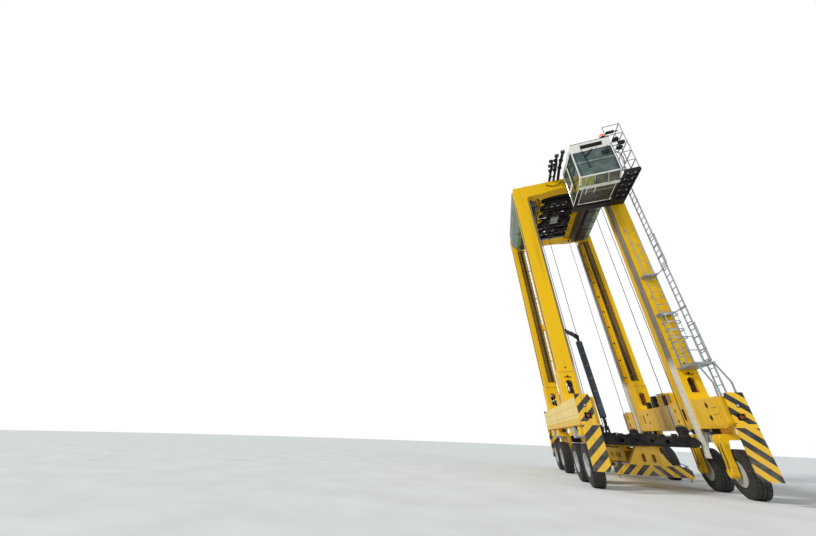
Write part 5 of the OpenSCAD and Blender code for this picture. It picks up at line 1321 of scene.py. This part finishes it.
def make_girder_bolts():
    bolts = Shape()
    for s in SIDES:
        for y in (-2.45, -1.95, -1.33, -0.87, -0.43, 0.0, 0.43, 0.87, 1.33, 1.95, 2.45):
            for dz in (0.05, 0.11):
                bolts.bolt((s * 1.26, y - 0.05, DECK_Z + dz + 0.06), "x", 0.014, s * 0.012)
                bolts.bolt((s * 1.26, y + 0.05, DECK_Z + dz + 0.06), "x", 0.014, s * 0.012)
        for y in (-2.78, 2.78):
            for x in (1.08, 1.22):
                bolts.bolt((s * x, y, 14.64), "z", 0.016, -0.014)
    bolts.done("girder_bolts", "bright_steel")


def make_drums():
    """Grooved hoist drums with their flanges, in place of the plain ones."""
    for node, s in (("hoist_drum_front", -1), ("hoist_drum_rear", 1)):
        shape = Shape()
        at = (0, s * DRUM_Y, DRUM_Z)
        end, r = 0.75, 0.27
        profile = [(-0.9, 0.0), (-0.9, 0.06), (-end, 0.06), (-end, 0.325), (-end + 0.006, 0.33),
                   (-end + 0.034, 0.33), (-end + 0.04, 0.325), (-end + 0.04, r + 0.02), (-end + 0.06, r)]
        x = -end + 0.07
        while x < end - 0.20:
            profile += [(x, r), (x + 0.008, r + 0.012), (x + 0.016, r + 0.016), (x + 0.024, r + 0.012),
                        (x + 0.032, r)]
            x += 0.036
        profile += [(end - 0.17, r), (end - 0.16, 0.33), (end - 0.125, 0.33), (end - 0.12, 0.27),
                    (end - 0.05, 0.27), (end - 0.04, 0.31), (end, 0.31), (end, 0.06), (0.9, 0.06), (0.9, 0.0)]
        shape.revolve(profile, at, "x", 48)
        for side in SIDES:
            shape.bolt_circle((side * end, at[1], at[2]), 0.2, 10, 0.018, side * 0.016, 1)
        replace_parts(shape.done(node + "_grooved", "grey_paint", node, extra=("bright_steel", "wire_rope")),
                    node)


def make_houses():
    """Door handles, hinges, louvre vanes and roof trim of the side houses."""
    for sx, tag in SIDE_TAGS:
        shape = Shape()
        out = sx * 2.438
        for y in (-2.2, -0.72, 0.72, 2.2):
            for z in (14.72, 15.30):
                shape.tube([(out, y - 0.30, z - 0.05), (out, y - 0.30, z + 0.05)], 0.011, 8)
            shape.prism(rounded(y + 0.18, 14.94, y + 0.24, 15.08, 0.02), "x", out - sx * 0.002,
                        out + sx * 0.005, 1)
        for y in (-1.46, 0.0, 1.46):
            for k in range(9):
                z = 14.80 + 0.045 * k
                shape.prism([(y - 0.22, z), (y + 0.22, z), (y + 0.22, z + 0.018), (y - 0.22, z + 0.018)], "x",
                            out - sx * 0.014, out + sx * 0.004)
        for y in (-2.60, 2.60):
            shape.box((sx * 1.30, y - 0.015, 15.492), (sx * 2.36, y + 0.015, 15.508), 0.004)
        for k in range(6):
            y = -2.2 + 0.88 * k
            shape.box((sx * 1.34, y, 15.496), (sx * 2.30, y + 0.03, 15.512), 0.006)
        for k in range(5):
            y = -2.1 + 1.05 * k
            shape.box((sx * 1.30, y, 14.082), (sx * 2.16, y + 0.06, 14.102), 0.006, 2)
        for k in range(4):
            shape.tube([(sx * (1.42 + 0.05 * k), -2.55, 14.078), (sx * (1.42 + 0.05 * k), 2.55, 14.078)],
                       0.014, 8, 3)
        shape.done(f"house_furniture_{tag}", "grey_paint", extra=("black_steel", "black_steel", "hose"))


# Headblock, spreader and the hanging cable arm


def make_headblock_fittings():
    """Bolts, sheave pins and guards, hoses and boxes on the headblock."""
    shape = Shape()
    for sy in SIDES:
        y = sy * ROPE_Y
        for sx in SIDES:
            for k in range(4):
                shape.bolt((sx * (1.28 + 0.08 * k), y - 0.13, 1.85), "z", 0.016, 0.014, 1)
                shape.bolt((sx * (1.28 + 0.08 * k), y + 0.13, 1.85), "z", 0.016, 0.014, 1)
            at = (sx * ROPE_X, y, SHEAVE_Z)
            for side in SIDES:
                shape.revolve([(0.103, 0.0), (0.103, 0.075), (0.125, 0.075), (0.130, 0.045), (0.145, 0.04),
                               (0.145, 0.0)], at, "y", 20, 0, side)
                shape.bolt((at[0] + 0.05, y + side * 0.103, 2.13), "y", 0.010, side * 0.010, 1)
            shape.tube([(at[0] - 0.16, y, 2.19), (at[0] - 0.09, y, 2.265), (at[0], y, 2.285),
                        (at[0] + 0.09, y, 2.265), (at[0] + 0.16, y, 2.19)], 0.012, 8)
            shape.box((sx * 1.02, y - 0.12, 1.85), (sx * 1.16, y + 0.12, 1.96), 0.012)
            shape.box((sx * 0.60, y - 0.05, 1.85), (sx * 0.78, y + 0.06, 1.93), 0.01, 2)
        shape.tube([(-1.55, y - 0.15, 1.875), (1.55, y - 0.15, 1.875)], 0.016, 8, 3)
        shape.tube([(-1.55, y + 0.15, 1.875), (1.55, y + 0.15, 1.875)], 0.016, 8, 3)
        for x in (-0.35, 0.0, 0.35):
            shape.box((x - 0.11, y - 0.10, 1.85), (x + 0.11, y + 0.10, 1.90), 0.01)
            shape.revolve([(0, 0.032), (0.04, 0.032), (0.05, 0.018), (0.05, 0.0)], (x, y, 1.90), "z", 14, 1)
        for x in (-1.2, -0.55, 0.55, 1.2):
            for dx in (-0.05, 0.0, 0.05):
                shape.bolt((x + dx, y + sy * 0.19, 1.58), "y", 0.013, sy * 0.02, 1)
    for sx in SIDES:
        x = sx * 0.70
        for k in range(11):
            y = -2.4 + 0.48 * k
            shape.box((x - 0.125, y - 0.02, 1.515), (x + 0.125, y + 0.02, 1.525), 0.003)
            shape.bolt((x + sx * 0.12, y, 1.67), "x", 0.014, sx * 0.012, 1)
        for k, z in enumerate((1.58, 1.63, 1.75)):
            shape.tube([(x - sx * 0.135, -2.7, z), (x - sx * 0.135, 2.7, z)], 0.013 + 0.003 * k, 8, 3)
        shape.hose([(x, -2.4, 1.81), (x + 0.02, -2.2, 1.90), (x - 0.02, -1.8, 1.93), (x + 0.02, -1.3, 1.87),
                    (x, -1.0, 1.81)],
                   0.022, 8, 3, 6)
        shape.hose([(x, 0.6, 1.81), (x - 0.03, 0.9, 1.91), (x + 0.03, 1.4, 1.90), (x, 1.9, 1.81)], 0.022, 8,
                   3, 6)
        shape.box((x - 0.14, -0.30, 1.81), (x + 0.14, 0.30, 1.98), 0.02)
        shape.box((x - 0.11, -0.26, 1.98), (x + 0.11, 0.26, 2.0), 0.008, 2)
        for k in range(4):
            y = -1.9 + 1.2 * k
            shape.box((x - 0.11, y - 0.12, 1.81), (x + 0.11, y + 0.12, 1.93 + 0.03 * (k % 2)), 0.02, 3)
            shape.hose([(x, y, 1.93), (x - sx * 0.20, y + 0.10, 1.95), (x - sx * 0.46, y + 0.20, 1.80),
                        (x - sx * 0.70, y + 0.24, 1.62)],
                       0.022, 8, 3, 6)
    shape.done("headblock_fittings", "navy_paint", "spreader", extra=("black_steel", "navy_paint", "hose"))


def make_spreader_fittings():
    """Bolts, hoses and the telescoping cylinder of the spreader, and the twistlocks of its end beams."""
    shape = Shape()
    for sx in SIDES:
        for k in range(14):
            y = -2.2 + 0.34 * k
            shape.bolt((sx * 0.62, y, 0.92), "x", 0.016, sx * 0.012, 1)
            shape.bolt((sx * 0.62, y, 1.27), "x", 0.016, sx * 0.012, 1)
        for k in range(3):
            x = sx * (0.20 + 0.04 * k)
            shape.hose([(x, -2.30, 1.345), (x, -1.6, 1.365), (x + 0.03, -0.8, 1.350), (x, 0.0, 1.365),
                        (x - 0.03, 0.9, 1.350), (x, 1.6, 1.365), (x, 2.30, 1.345)], 0.015, 8, 2, 6)
        for y in (-1.7, -0.85, 0.85, 1.7):
            shape.box((sx * 0.16, y - 0.03, 1.335), (sx * 0.34, y + 0.03, 1.39), 0.006, 3)
    shape.box((-0.16, -0.45, 1.34), (0.16, 0.45, 1.40), 0.01, 3)
    shape.box((-0.10, -0.30, 1.40), (0.10, 0.20, 1.455), 0.015, 3)
    for y in (-0.40, 0.40):
        shape.box((-0.10, y - 0.02, 1.40), (0.10, y + 0.02, 1.425), 0.004, 1)
    shape.tube([(-0.03, -2.2, 1.02), (-0.03, 0.9, 1.02)], 0.045, 16, 3)
    shape.tube([(-0.03, 0.9, 1.02), (-0.03, 1.9, 1.02)], 0.024, 14, 1)
    shape.done("spreader_fittings", "yellow_paint", "spreader", extra=("bright_steel", "hose", "black_steel"))

    for body, sy in (("spreader_end_front", -1), ("spreader_end_rear", 1)):
        lock = Shape()
        for sx in SIDES:
            at = Vector((sx * 1.1295, sy * 2.9265, 0.0))
            lock.revolve([(0.305, 0.0), (0.31, 0.012), (0.335, 0.027), (0.36, 0.028), (0.385, 0.020),
                          (0.39, 0.028), (0.44, 0.028), (0.44, 0.060), (0.452, 0.060), (0.452, 0.0)], at, "z",
                          20, 1)
            lock.box((at.x - 0.075, at.y - 0.075, 0.428), (at.x + 0.075, at.y + 0.075, 0.438), 0.003, 1)
            lock.revolve([(0.79, 0.05), (0.83, 0.05), (0.85, 0.035), (0.85, 0.0)], at, "z", 20, 1)
            lock.hose([(at.x, at.y - sy * 0.05, 0.84), (at.x - sx * 0.15, at.y - sy * 0.10, 0.90),
                       (at.x - sx * 0.45, at.y - sy * 0.10, 0.86), (at.x - sx * 0.7, at.y - sy * 0.12, 0.81)],
                       0.012, 8, 2, 6)
            for k in range(5):
                lock.bolt((sx * (0.25 + 0.2 * k), sy * 3.029, 0.50), "y", 0.012, sy * 0.008, 3)
                lock.bolt((sx * (0.25 + 0.2 * k), sy * 3.029, 0.72), "y", 0.012, sy * 0.008, 3)
        lock.tube([(-0.95, sy * 2.88, 0.815), (0.95, sy * 2.88, 0.815)], 0.022, 12, 1)
        lock.box((-0.14, sy * 2.80, 0.79), (0.14, sy * 2.96, 0.87), 0.012, 3)
        lock.done(f"twistlocks_{'front' if sy < 0 else 'rear'}", "yellow_paint", body,
                  extra=("bright_steel", "hose", "black_steel"))


def make_arm_fittings():
    """Hose bundles, pins and clamps on the folding cable arm."""
    foot, elbow, root = (-1.1, -2.95, 2.12), (-1.1, -2.35, 6.25), (-1.1, 2.35, 8.1)
    for name, a, b, body, bundle in (("arm_hoses_upper", root, elbow, "cable_arm_upper", 5),
                                     ("arm_hoses_lower", elbow, foot, "cable_arm_lower", 4)):
        a, b = Vector(a), Vector(b)
        along = (b - a).normalized()
        out = Vector((1, 0, 0)).cross(along).normalized()
        if out.z < 0:
            out = -out
        length = (b - a).length
        shape = Shape()
        for k in range(bundle):
            x = (k - (bundle - 1) / 2) * 0.030
            points = []
            for j in range(13):
                t = 0.14 + (length - 0.28) * j / 12
                sag = 0.012 * sin(j * 1.7 + k)
                points.append(a + along * t + out * (0.098 + sag) + Vector((x * 0.8, 0, 0)))
            shape.hose(points, 0.012, 6, 1, 3)
        for j in range(7):
            p = a + along * (0.30 + (length - 0.60) * j / 6) + out * 0.095
            for s in (-0.072, 0.062):
                shape.tube([p + Vector((s + 0.005, 0, 0)) - out * 0.03,
                            p + Vector((s + 0.005, 0, 0)) + out * 0.035], 0.008, 6, 2)
            shape.tube([p + Vector((-0.072, 0, 0)) + out * 0.032, p + Vector((0.072, 0, 0)) + out * 0.032],
                       0.008, 6, 2)
        for p in (a, b) if body == "cable_arm_upper" else ():
            shape.revolve([(-0.062, 0.0), (-0.062, 0.045), (-0.045, 0.05), (0.045, 0.05), (0.062, 0.045),
                           (0.062, 0.0)],
                          p, "x", 18, 2)
        if body == "cable_arm_lower":
            side = Vector((0.10, 0, 0))
            p, q = a + along * 0.28, b - along * 0.42
            for s, depth in ((-1, 0.11), (1, 0.085)):
                shape.plate([p - side + out * 0.085 * s, p + side + out * 0.085 * s,
                             q + side * 0.9 + out * 0.085 * s, q - side * 0.9 + out * 0.085 * s],
                             out * depth * s * 0.5, 3)
            for s in SIDES:
                shape.plate([p + side * s - out * 0.10, p + side * s + out * 0.13,
                             q + side * 0.9 * s + out * 0.13, q + side * 0.9 * s - out * 0.10],
                             side * s * 0.12, 3)
        shape.done(name, "black_steel", body, extra=("hose", "bright_steel", "arm_paint"))


# Drive units, platform, ladders and lamps


def make_drive_details():
    """Louvres, motor ribs, hoses and the green tank of each drive unit."""
    for sx, tag in SIDE_TAGS:
        shape = Shape()
        x = lambda v: sx * v
        for k in range(12):
            z = 3.24 + 0.032 * k
            shape.box((x(1.915), -1.58, z), (x(1.925), -1.20, z + 0.014), 0.003, 1)
            shape.box((x(2.335), -1.58, z), (x(2.345), -1.20, z + 0.014), 0.003, 1)
        shape.tube([(x(1.912), -1.60, 3.20), (x(1.912), -1.60, 3.62)], 0.008, 6, 2)
        shape.prism(rounded(-1.30, 3.40, -1.24, 3.50, 0.01), "x", x(1.905), x(1.92), 2)
        for k in range(7):
            y = -0.9 + 0.13 * k
            shape.bolt((x(1.92), y, 3.20), "x", 0.013, -sx * 0.012, 2)
            shape.bolt((x(2.34), y, 3.20), "x", 0.013, sx * 0.012, 2)
        for k in range(14):
            y = 0.0 + 0.048 * k
            shape.revolve([(0, 0.205), (0, 0.222), (0.012, 0.222), (0.012, 0.205)], (x(SILL_X), y, 3.36), "y",
                          28, 1)
        shape.box((x(2.03), 0.18, 3.56), (x(2.23), 0.48, 3.66), 0.015)
        shape.revolve([(0, 0.0), (0, 0.20), (0.02, 0.205), (0.05, 0.16), (0.06, 0.05), (0.06, 0.0)],
                      (x(SILL_X), 0.70, 3.36), "y", 28, 1)
        for k in range(4):
            shape.hose([(x(2.0 + 0.07 * k), -0.30, 3.58), (x(2.0 + 0.06 * k), -0.10, 3.72),
                        (x(2.02 + 0.06 * k), 0.16, 3.74), (x(2.06 + 0.04 * k), 0.30, 3.66)], 0.015, 8, 3, 6)
        shape.hose([(x(2.22), -1.13, 3.5), (x(2.26), -1.05, 3.6), (x(2.26), -0.9, 3.6),
                    (x(2.24), -0.8, 3.55)], 0.018, 8, 3, 6)
        shape.hose([(x(1.98), 0.76, 3.30), (x(1.96), 0.86, 3.24), (x(2.0), 0.98, 3.28)], 0.020, 8, 3, 6)
        tank = (x(SILL_X), 1.02, 3.15)
        shape.revolve([(0.0, 0.132), (0.03, 0.135), (0.05, 0.131), (0.42, 0.131), (0.46, 0.12), (0.485, 0.07),
                       (0.485, 0.045), (0.53, 0.045), (0.535, 0.03), (0.535, 0.0)], tank, "z", 32, 4)
        for z in (3.26, 3.47):
            shape.revolve([(0, 0.132), (0.0, 0.138), (0.03, 0.138), (0.03, 0.132)], (tank[0], tank[1], z),
                          "z", 28, 2)
        for y0, y1, z1 in ((-1.05, -0.72, 3.62), (0.30, 0.62, 3.70), (1.22, 1.50, 3.48)):
            shape.box((x(1.90), y0, 3.16), (x(2.05), y1, z1), 0.02, 1)
        shape.done(f"drive_fittings_{tag}", "yellow_paint",
                   extra=("black_steel", "bright_steel", "hose", "green_paint"))


def make_platform():
    """Grating and bolts of the walkway, and round handrail joints."""
    grate = Shape()
    y = -6.13
    while y < -3.95:
        grate.box((1.86, y, 12.925), (2.35, y + 0.008, 12.952))
        y += 0.055
    for x in (1.95, 2.10, 2.25):
        grate.box((x, -6.14, 12.93), (x + 0.008, -3.94, 12.950))
    y = -3.87
    while y < -3.48:
        grate.box((0.20, y, 12.896), (2.34, y + 0.008, 12.908))
        y += 0.05
    grate.done("walkway_grating", "galvanised")

    joints = Shape()
    for z in (13.45, 14.0, 14.6, 15.2, 15.8):
        for y in (-6.15, -5.27, -4.39, -3.51):
            joints.revolve([(-0.03, 0.024), (-0.028, 0.028), (0.018, 0.028), (0.02, 0.024)], (2.36, y, z),
                           "z", 12)
    joints.done("rail_joints", "galvanised")

    bolts = Shape()
    for x in (0.27, 2.25):
        for z in (13.0, 13.15, 14.7, 14.85, 15.0):
            bolts.bolt((x - 0.03, -3.47, z), "y", 0.012, 0.010)
    for k in range(10):
        bolts.bolt((1.82, -6.0 + 0.22 * k, 12.88), "x", 0.012, -0.010)
    bolts.done("platform_bolts", "bright_steel")


def make_rungs():
    """Ribbed rungs and clamps on the ladders."""
    side = Shape()
    z = 4.39 + 0.15
    while z < 12.74:
        for k in range(5):
            side.tube([(2.385, -4.70 + 0.075 * k, z), (2.385, -4.70 + 0.075 * k + 0.03, z)], 0.0185, 8)
        z += RUNG_PITCH
    for z0 in (4.50, 6.65, 8.50, 10.3, 12.1):
        for y in (-4.35, -4.75):
            side.box((2.352, y - 0.03, z0), (2.418, y + 0.03, z0 + 0.04), 0.005)
            side.bolt((2.418, y, z0 + 0.02), "x", 0.010, 0.010, 1)
    side.done("ladder_clamps", "galvanised", extra=("bright_steel",))
    plates = Shape()
    for z, y0, x1 in ((4.35, -4.90, 2.44), (6.65, -3.90, 2.36), (8.50, -3.90, 2.36)):
        y = y0 + 0.03
        while y < -3.50:
            plates.box((1.86, y, z + 0.034), (x1 - 0.03, y + 0.006, z + 0.047))
            y += 0.05
        for x in (1.87, x1 - 0.04):
            plates.bolt((x, -3.462, z + 0.02), "y", 0.012, -0.012, 1)
    plates.done("landing_grating", "galvanised", extra=("bright_steel",))


def lamp_head(shape, x, y, z, deep):
    """A square lamp housing with its lens; deep is how far it reaches forward of its middle."""
    shape.prism(rounded(x - 0.09, z - 0.08, x + 0.09, z + 0.08, 0.02), "y", y - deep, y + 0.05)
    shape.prism(rounded(x - 0.07, z - 0.06, x + 0.07, z + 0.06, 0.015), "y", y - deep - 0.004, y - deep, 1)


def make_floodlights():
    """Lamp heads, their lenses, cooling ribs and the red mast light on the forked arms."""
    shape = Shape()
    for x in (-0.46, -0.24):
        for y, z in ((-4.72, 15.58), (-4.45, 15.50), (-4.10, 15.44)):
            lamp_head(shape, x, y, z, 0.05)
            shape.tube([(x, y, z - 0.22), (x, y, z - 0.06)], 0.03, 8)
            for k in range(4):
                shape.box((x - 0.08, y + 0.05, z - 0.06 + 0.035 * k),
                          (x + 0.08, y + 0.07, z - 0.052 + 0.035 * k))
    for route, r in ((((-0.24, -4.36, 15.39), (-0.20, -4.95, 15.64)), 0.05),
                     (((-0.06, -3.34, 15.17), (-0.04, -4.30, 15.40), (0.08, -5.10, 15.68)), 0.07)):
        shape.tube(route, r, 12)
    for x, y, z in ((-0.20, -4.99, 15.66), (0.08, -5.14, 15.70), (0.02, -4.66, 15.55), (-0.02, -4.20, 15.42)):
        lamp_head(shape, x, y, z, 0.06)
    shape.box((-0.60, -4.50, 15.40), (-0.54, -4.42, 15.58), 0.015, 2)
    shape.box((-0.60, -4.47, 15.44), (-0.46, -4.45, 15.48), 0.004)
    shape.revolve([(0, 0.03), (0.02, 0.03), (0.025, 0.024)], (-0.46, -4.15, 15.34), "z", 14)
    shape.revolve([(0.025, 0.024), (0.07, 0.022), (0.085, 0.0)], (-0.46, -4.15, 15.34), "z", 14, 2)
    shape.hose([(-0.46, -4.6, 15.44), (-0.42, -4.3, 15.40), (-0.42, -3.9, 15.30), (-0.40, -3.5, 15.22)],
               0.010, 6, 3, 6)
    shape.hose([(-0.72, -3.462, 14.98), (-0.55, -3.49, 14.84), (-0.30, -3.50, 14.78), (-0.05, -3.49, 14.88),
                (0.08, -3.462, 15.02)],
               0.020, 8, 3, 6)
    shape.done("floodlights", "black_steel", extra=("glass", "red_lens", "hose"))


def make_beam_details():
    """Cable tray, rope guides and bolts on the cross beams."""
    shape = Shape()
    for sy in SIDES:
        y = sy * LEG_FRONT
        for x in (-2.3, -1.75, 1.75, 2.3):
            shape.tube([(x, y, 15.19), (x - 0.05, y, 15.215), (x + 0.05, y, 15.215)], 0.010, 6, 1)
        for sx in SIDES:
            for dx in (-ROPE_HALF, ROPE_HALF):
                at = (sx * ROPE_X + dx, sy * ROPE_Y, BEAM_Z)
                shape.revolve([(0.0, 0.0), (0.0, 0.055), (-0.03, 0.055), (-0.05, 0.035), (-0.11, 0.028),
                               (-0.12, 0.0145)],
                              at, "z", 18, 2)
            for k in range(4):
                shape.bolt((sx * ROPE_X + 0.075 * (k - 1.5), sy * 2.86, BEAM_Z), "z", 0.014, -0.014, 1)
        inside = sy * 2.83
        shape.tube([(-2.2, inside - sy * 0.02, 15.05), (2.2, inside - sy * 0.02, 15.05)], 0.016, 8, 3)
        for k in range(8):
            x = -2.1 + 0.6 * k
            shape.box((x - 0.02, inside - sy * 0.045, 15.02), (x + 0.02, inside, 15.08), 0.004, 2)
    shape.done("beam_fittings", "yellow_paint", extra=("bright_steel", "black_steel", "hose"))


def make_ropes():
    """Hoist ropes as six laid strands, in place of the plain rods."""
    top, low, steps = BEAM_Z, SHEAVE_Z, 260
    for sy, tag in ((-1, "front"), (1, "rear")):
        shape = Shape()
        for sx in SIDES:
            for dx in (-ROPE_HALF, ROPE_HALF):
                cx, cy = sx * ROPE_X + dx, sy * ROPE_Y
                rings = []
                for i in range(steps + 1):
                    z = low + (top - low) * i / steps
                    turn = 2 * pi * (z - low) / 0.30
                    ring = []
                    for k in range(12):
                        r = 0.014 if k % 2 == 0 else 0.0105
                        a = 2 * pi * k / 12 + turn
                        ring.append(shape.bm.verts.new((cx + r * cos(a), cy + r * sin(a), z)))
                    rings.append(ring)
                for one, two in zip(rings, rings[1:]):
                    for k in range(12):
                        shape.bm.faces.new((one[k], one[(k + 1) % 12], two[(k + 1) % 12], two[k]))
                for ring in (rings[0], rings[-1]):
                    shape.bm.faces.new(ring)
        ropes = shape.done(f"laid_ropes_{tag}", "wire_rope", "chassis", angle=80)
        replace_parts(ropes, "hoist_ropes")
        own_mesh(ropes)


def dress_frame():
    """The finishes of the row's own solids."""
    slot_of = {part["node"]: part["material_slot"] for part in frame["record"]["subparts"]}
    special = {"guards": "guard_stripes", "spreader_end_front": "spreader_stripes", "cab_shell": "cab_paint",
               "spreader_end_rear": "spreader_stripes", "side_house_left": "house_paint",
               "side_house_right": "house_paint", "sill_left": "sill_paint", "sill_right": "sill_paint"}
    for name, node in frame["nodes"].items():
        node.data.materials.clear()
        node.data.materials.append(materials[special.get(name, slot_of[name])])


# Floor, world and lamps


def make_floor():
    ring = 96
    points = [(90 * cos(2 * pi * i / ring), 90 * sin(2 * pi * i / ring), 0) for i in range(ring)]
    mesh = bpy.data.meshes.new("floor")
    mesh.from_pydata(points, [], [list(range(ring))])
    floor = bpy.data.objects.new("floor", mesh)
    bpy.context.scene.collection.objects.link(floor)
    finish = Finish("floor", 0.9)
    grey = finish.ramp(finish.noise(0.6, 6), 0.3, 0.7)
    finish.colour(finish.mix(grey, srgb(226, 226, 224), srgb(216, 215, 211)))
    finish.bump(finish.noise(18.0, 5), 0.1, 0.01)
    mesh.materials.append(finish.mat)


def make_world():
    world = bpy.data.worlds.new("studio")
    bpy.context.scene.world = world
    world.use_nodes = True
    tree = world.node_tree
    tree.nodes.clear()
    out = tree.nodes.new("ShaderNodeOutputWorld")
    light, white = tree.nodes.new("ShaderNodeBackground"), tree.nodes.new("ShaderNodeBackground")
    light.inputs["Color"].default_value = (0.80, 0.90, 1.0, 1)
    light.inputs["Strength"].default_value = 0.50
    white.inputs["Color"].default_value = (1, 1, 1, 1)
    path, mix = tree.nodes.new("ShaderNodeLightPath"), tree.nodes.new("ShaderNodeMixShader")
    seen = tree.nodes.new("ShaderNodeMath")
    seen.operation = "MAXIMUM"
    tree.links.new(path.outputs["Is Camera Ray"], seen.inputs[0])
    tree.links.new(path.outputs["Is Transmission Ray"], seen.inputs[1])
    tree.links.new(seen.outputs[0], mix.inputs[0])
    tree.links.new(light.outputs[0], mix.inputs[1])
    tree.links.new(white.outputs[0], mix.inputs[2])
    tree.links.new(mix.outputs[0], out.inputs[0])


def make_sun(name, azimuth, elevation, strength, spread, colour):
    """A broad lamp; azimuth is counted from the front towards the machine's right."""
    data = bpy.data.lights.new(name, "SUN")
    data.energy = strength
    data.angle = radians(spread)
    data.color = colour
    sun = bpy.data.objects.new(name, data)
    bpy.context.scene.collection.objects.link(sun)
    a, e = radians(azimuth), radians(elevation)
    towards = Vector((sin(a) * cos(e), -cos(a) * cos(e), sin(e)))
    sun.rotation_mode = "QUATERNION"
    sun.rotation_quaternion = towards.to_track_quat("Z", "Y")


make_camera()
make_floor()
make_world()
make_sun("key", -58, 36, 2.3, 14, (1.0, 0.98, 0.95))
make_sun("fill", 55, 25, 0.5, 45, (0.92, 0.96, 1.0))
make_sun("low", -10, 3, 0.45, 60, (1.0, 0.98, 0.95))
bpy.context.scene.view_settings.view_transform = "Standard"

dress_frame()
make_wheels()
make_knuckle_fittings()
make_cab_seals()
make_cab_glazing()
make_pillar_trims()
make_visor()
make_roof_beacon()
make_side_cameras()
make_wiper()
make_cab_mirror()
make_cab_ribs()
make_cab_doors()
make_cab_screen()
make_seat()
make_beacon_lens()
make_guard_lamps()
make_sill_details()
make_leg_details()
make_rear_leg_shade_plates()
make_guide_bolts()
make_oval_fittings()
make_energy_chains()
make_deck_hoses()
make_deck_valves()
make_cable_trays()
make_deck_machinery()
make_girder_bolts()
make_drums()
make_houses()
make_headblock_fittings()
make_spreader_fittings()
make_arm_fittings()
make_drive_details()
make_platform()
make_rungs()
make_floodlights()
make_beam_details()
make_ropes()
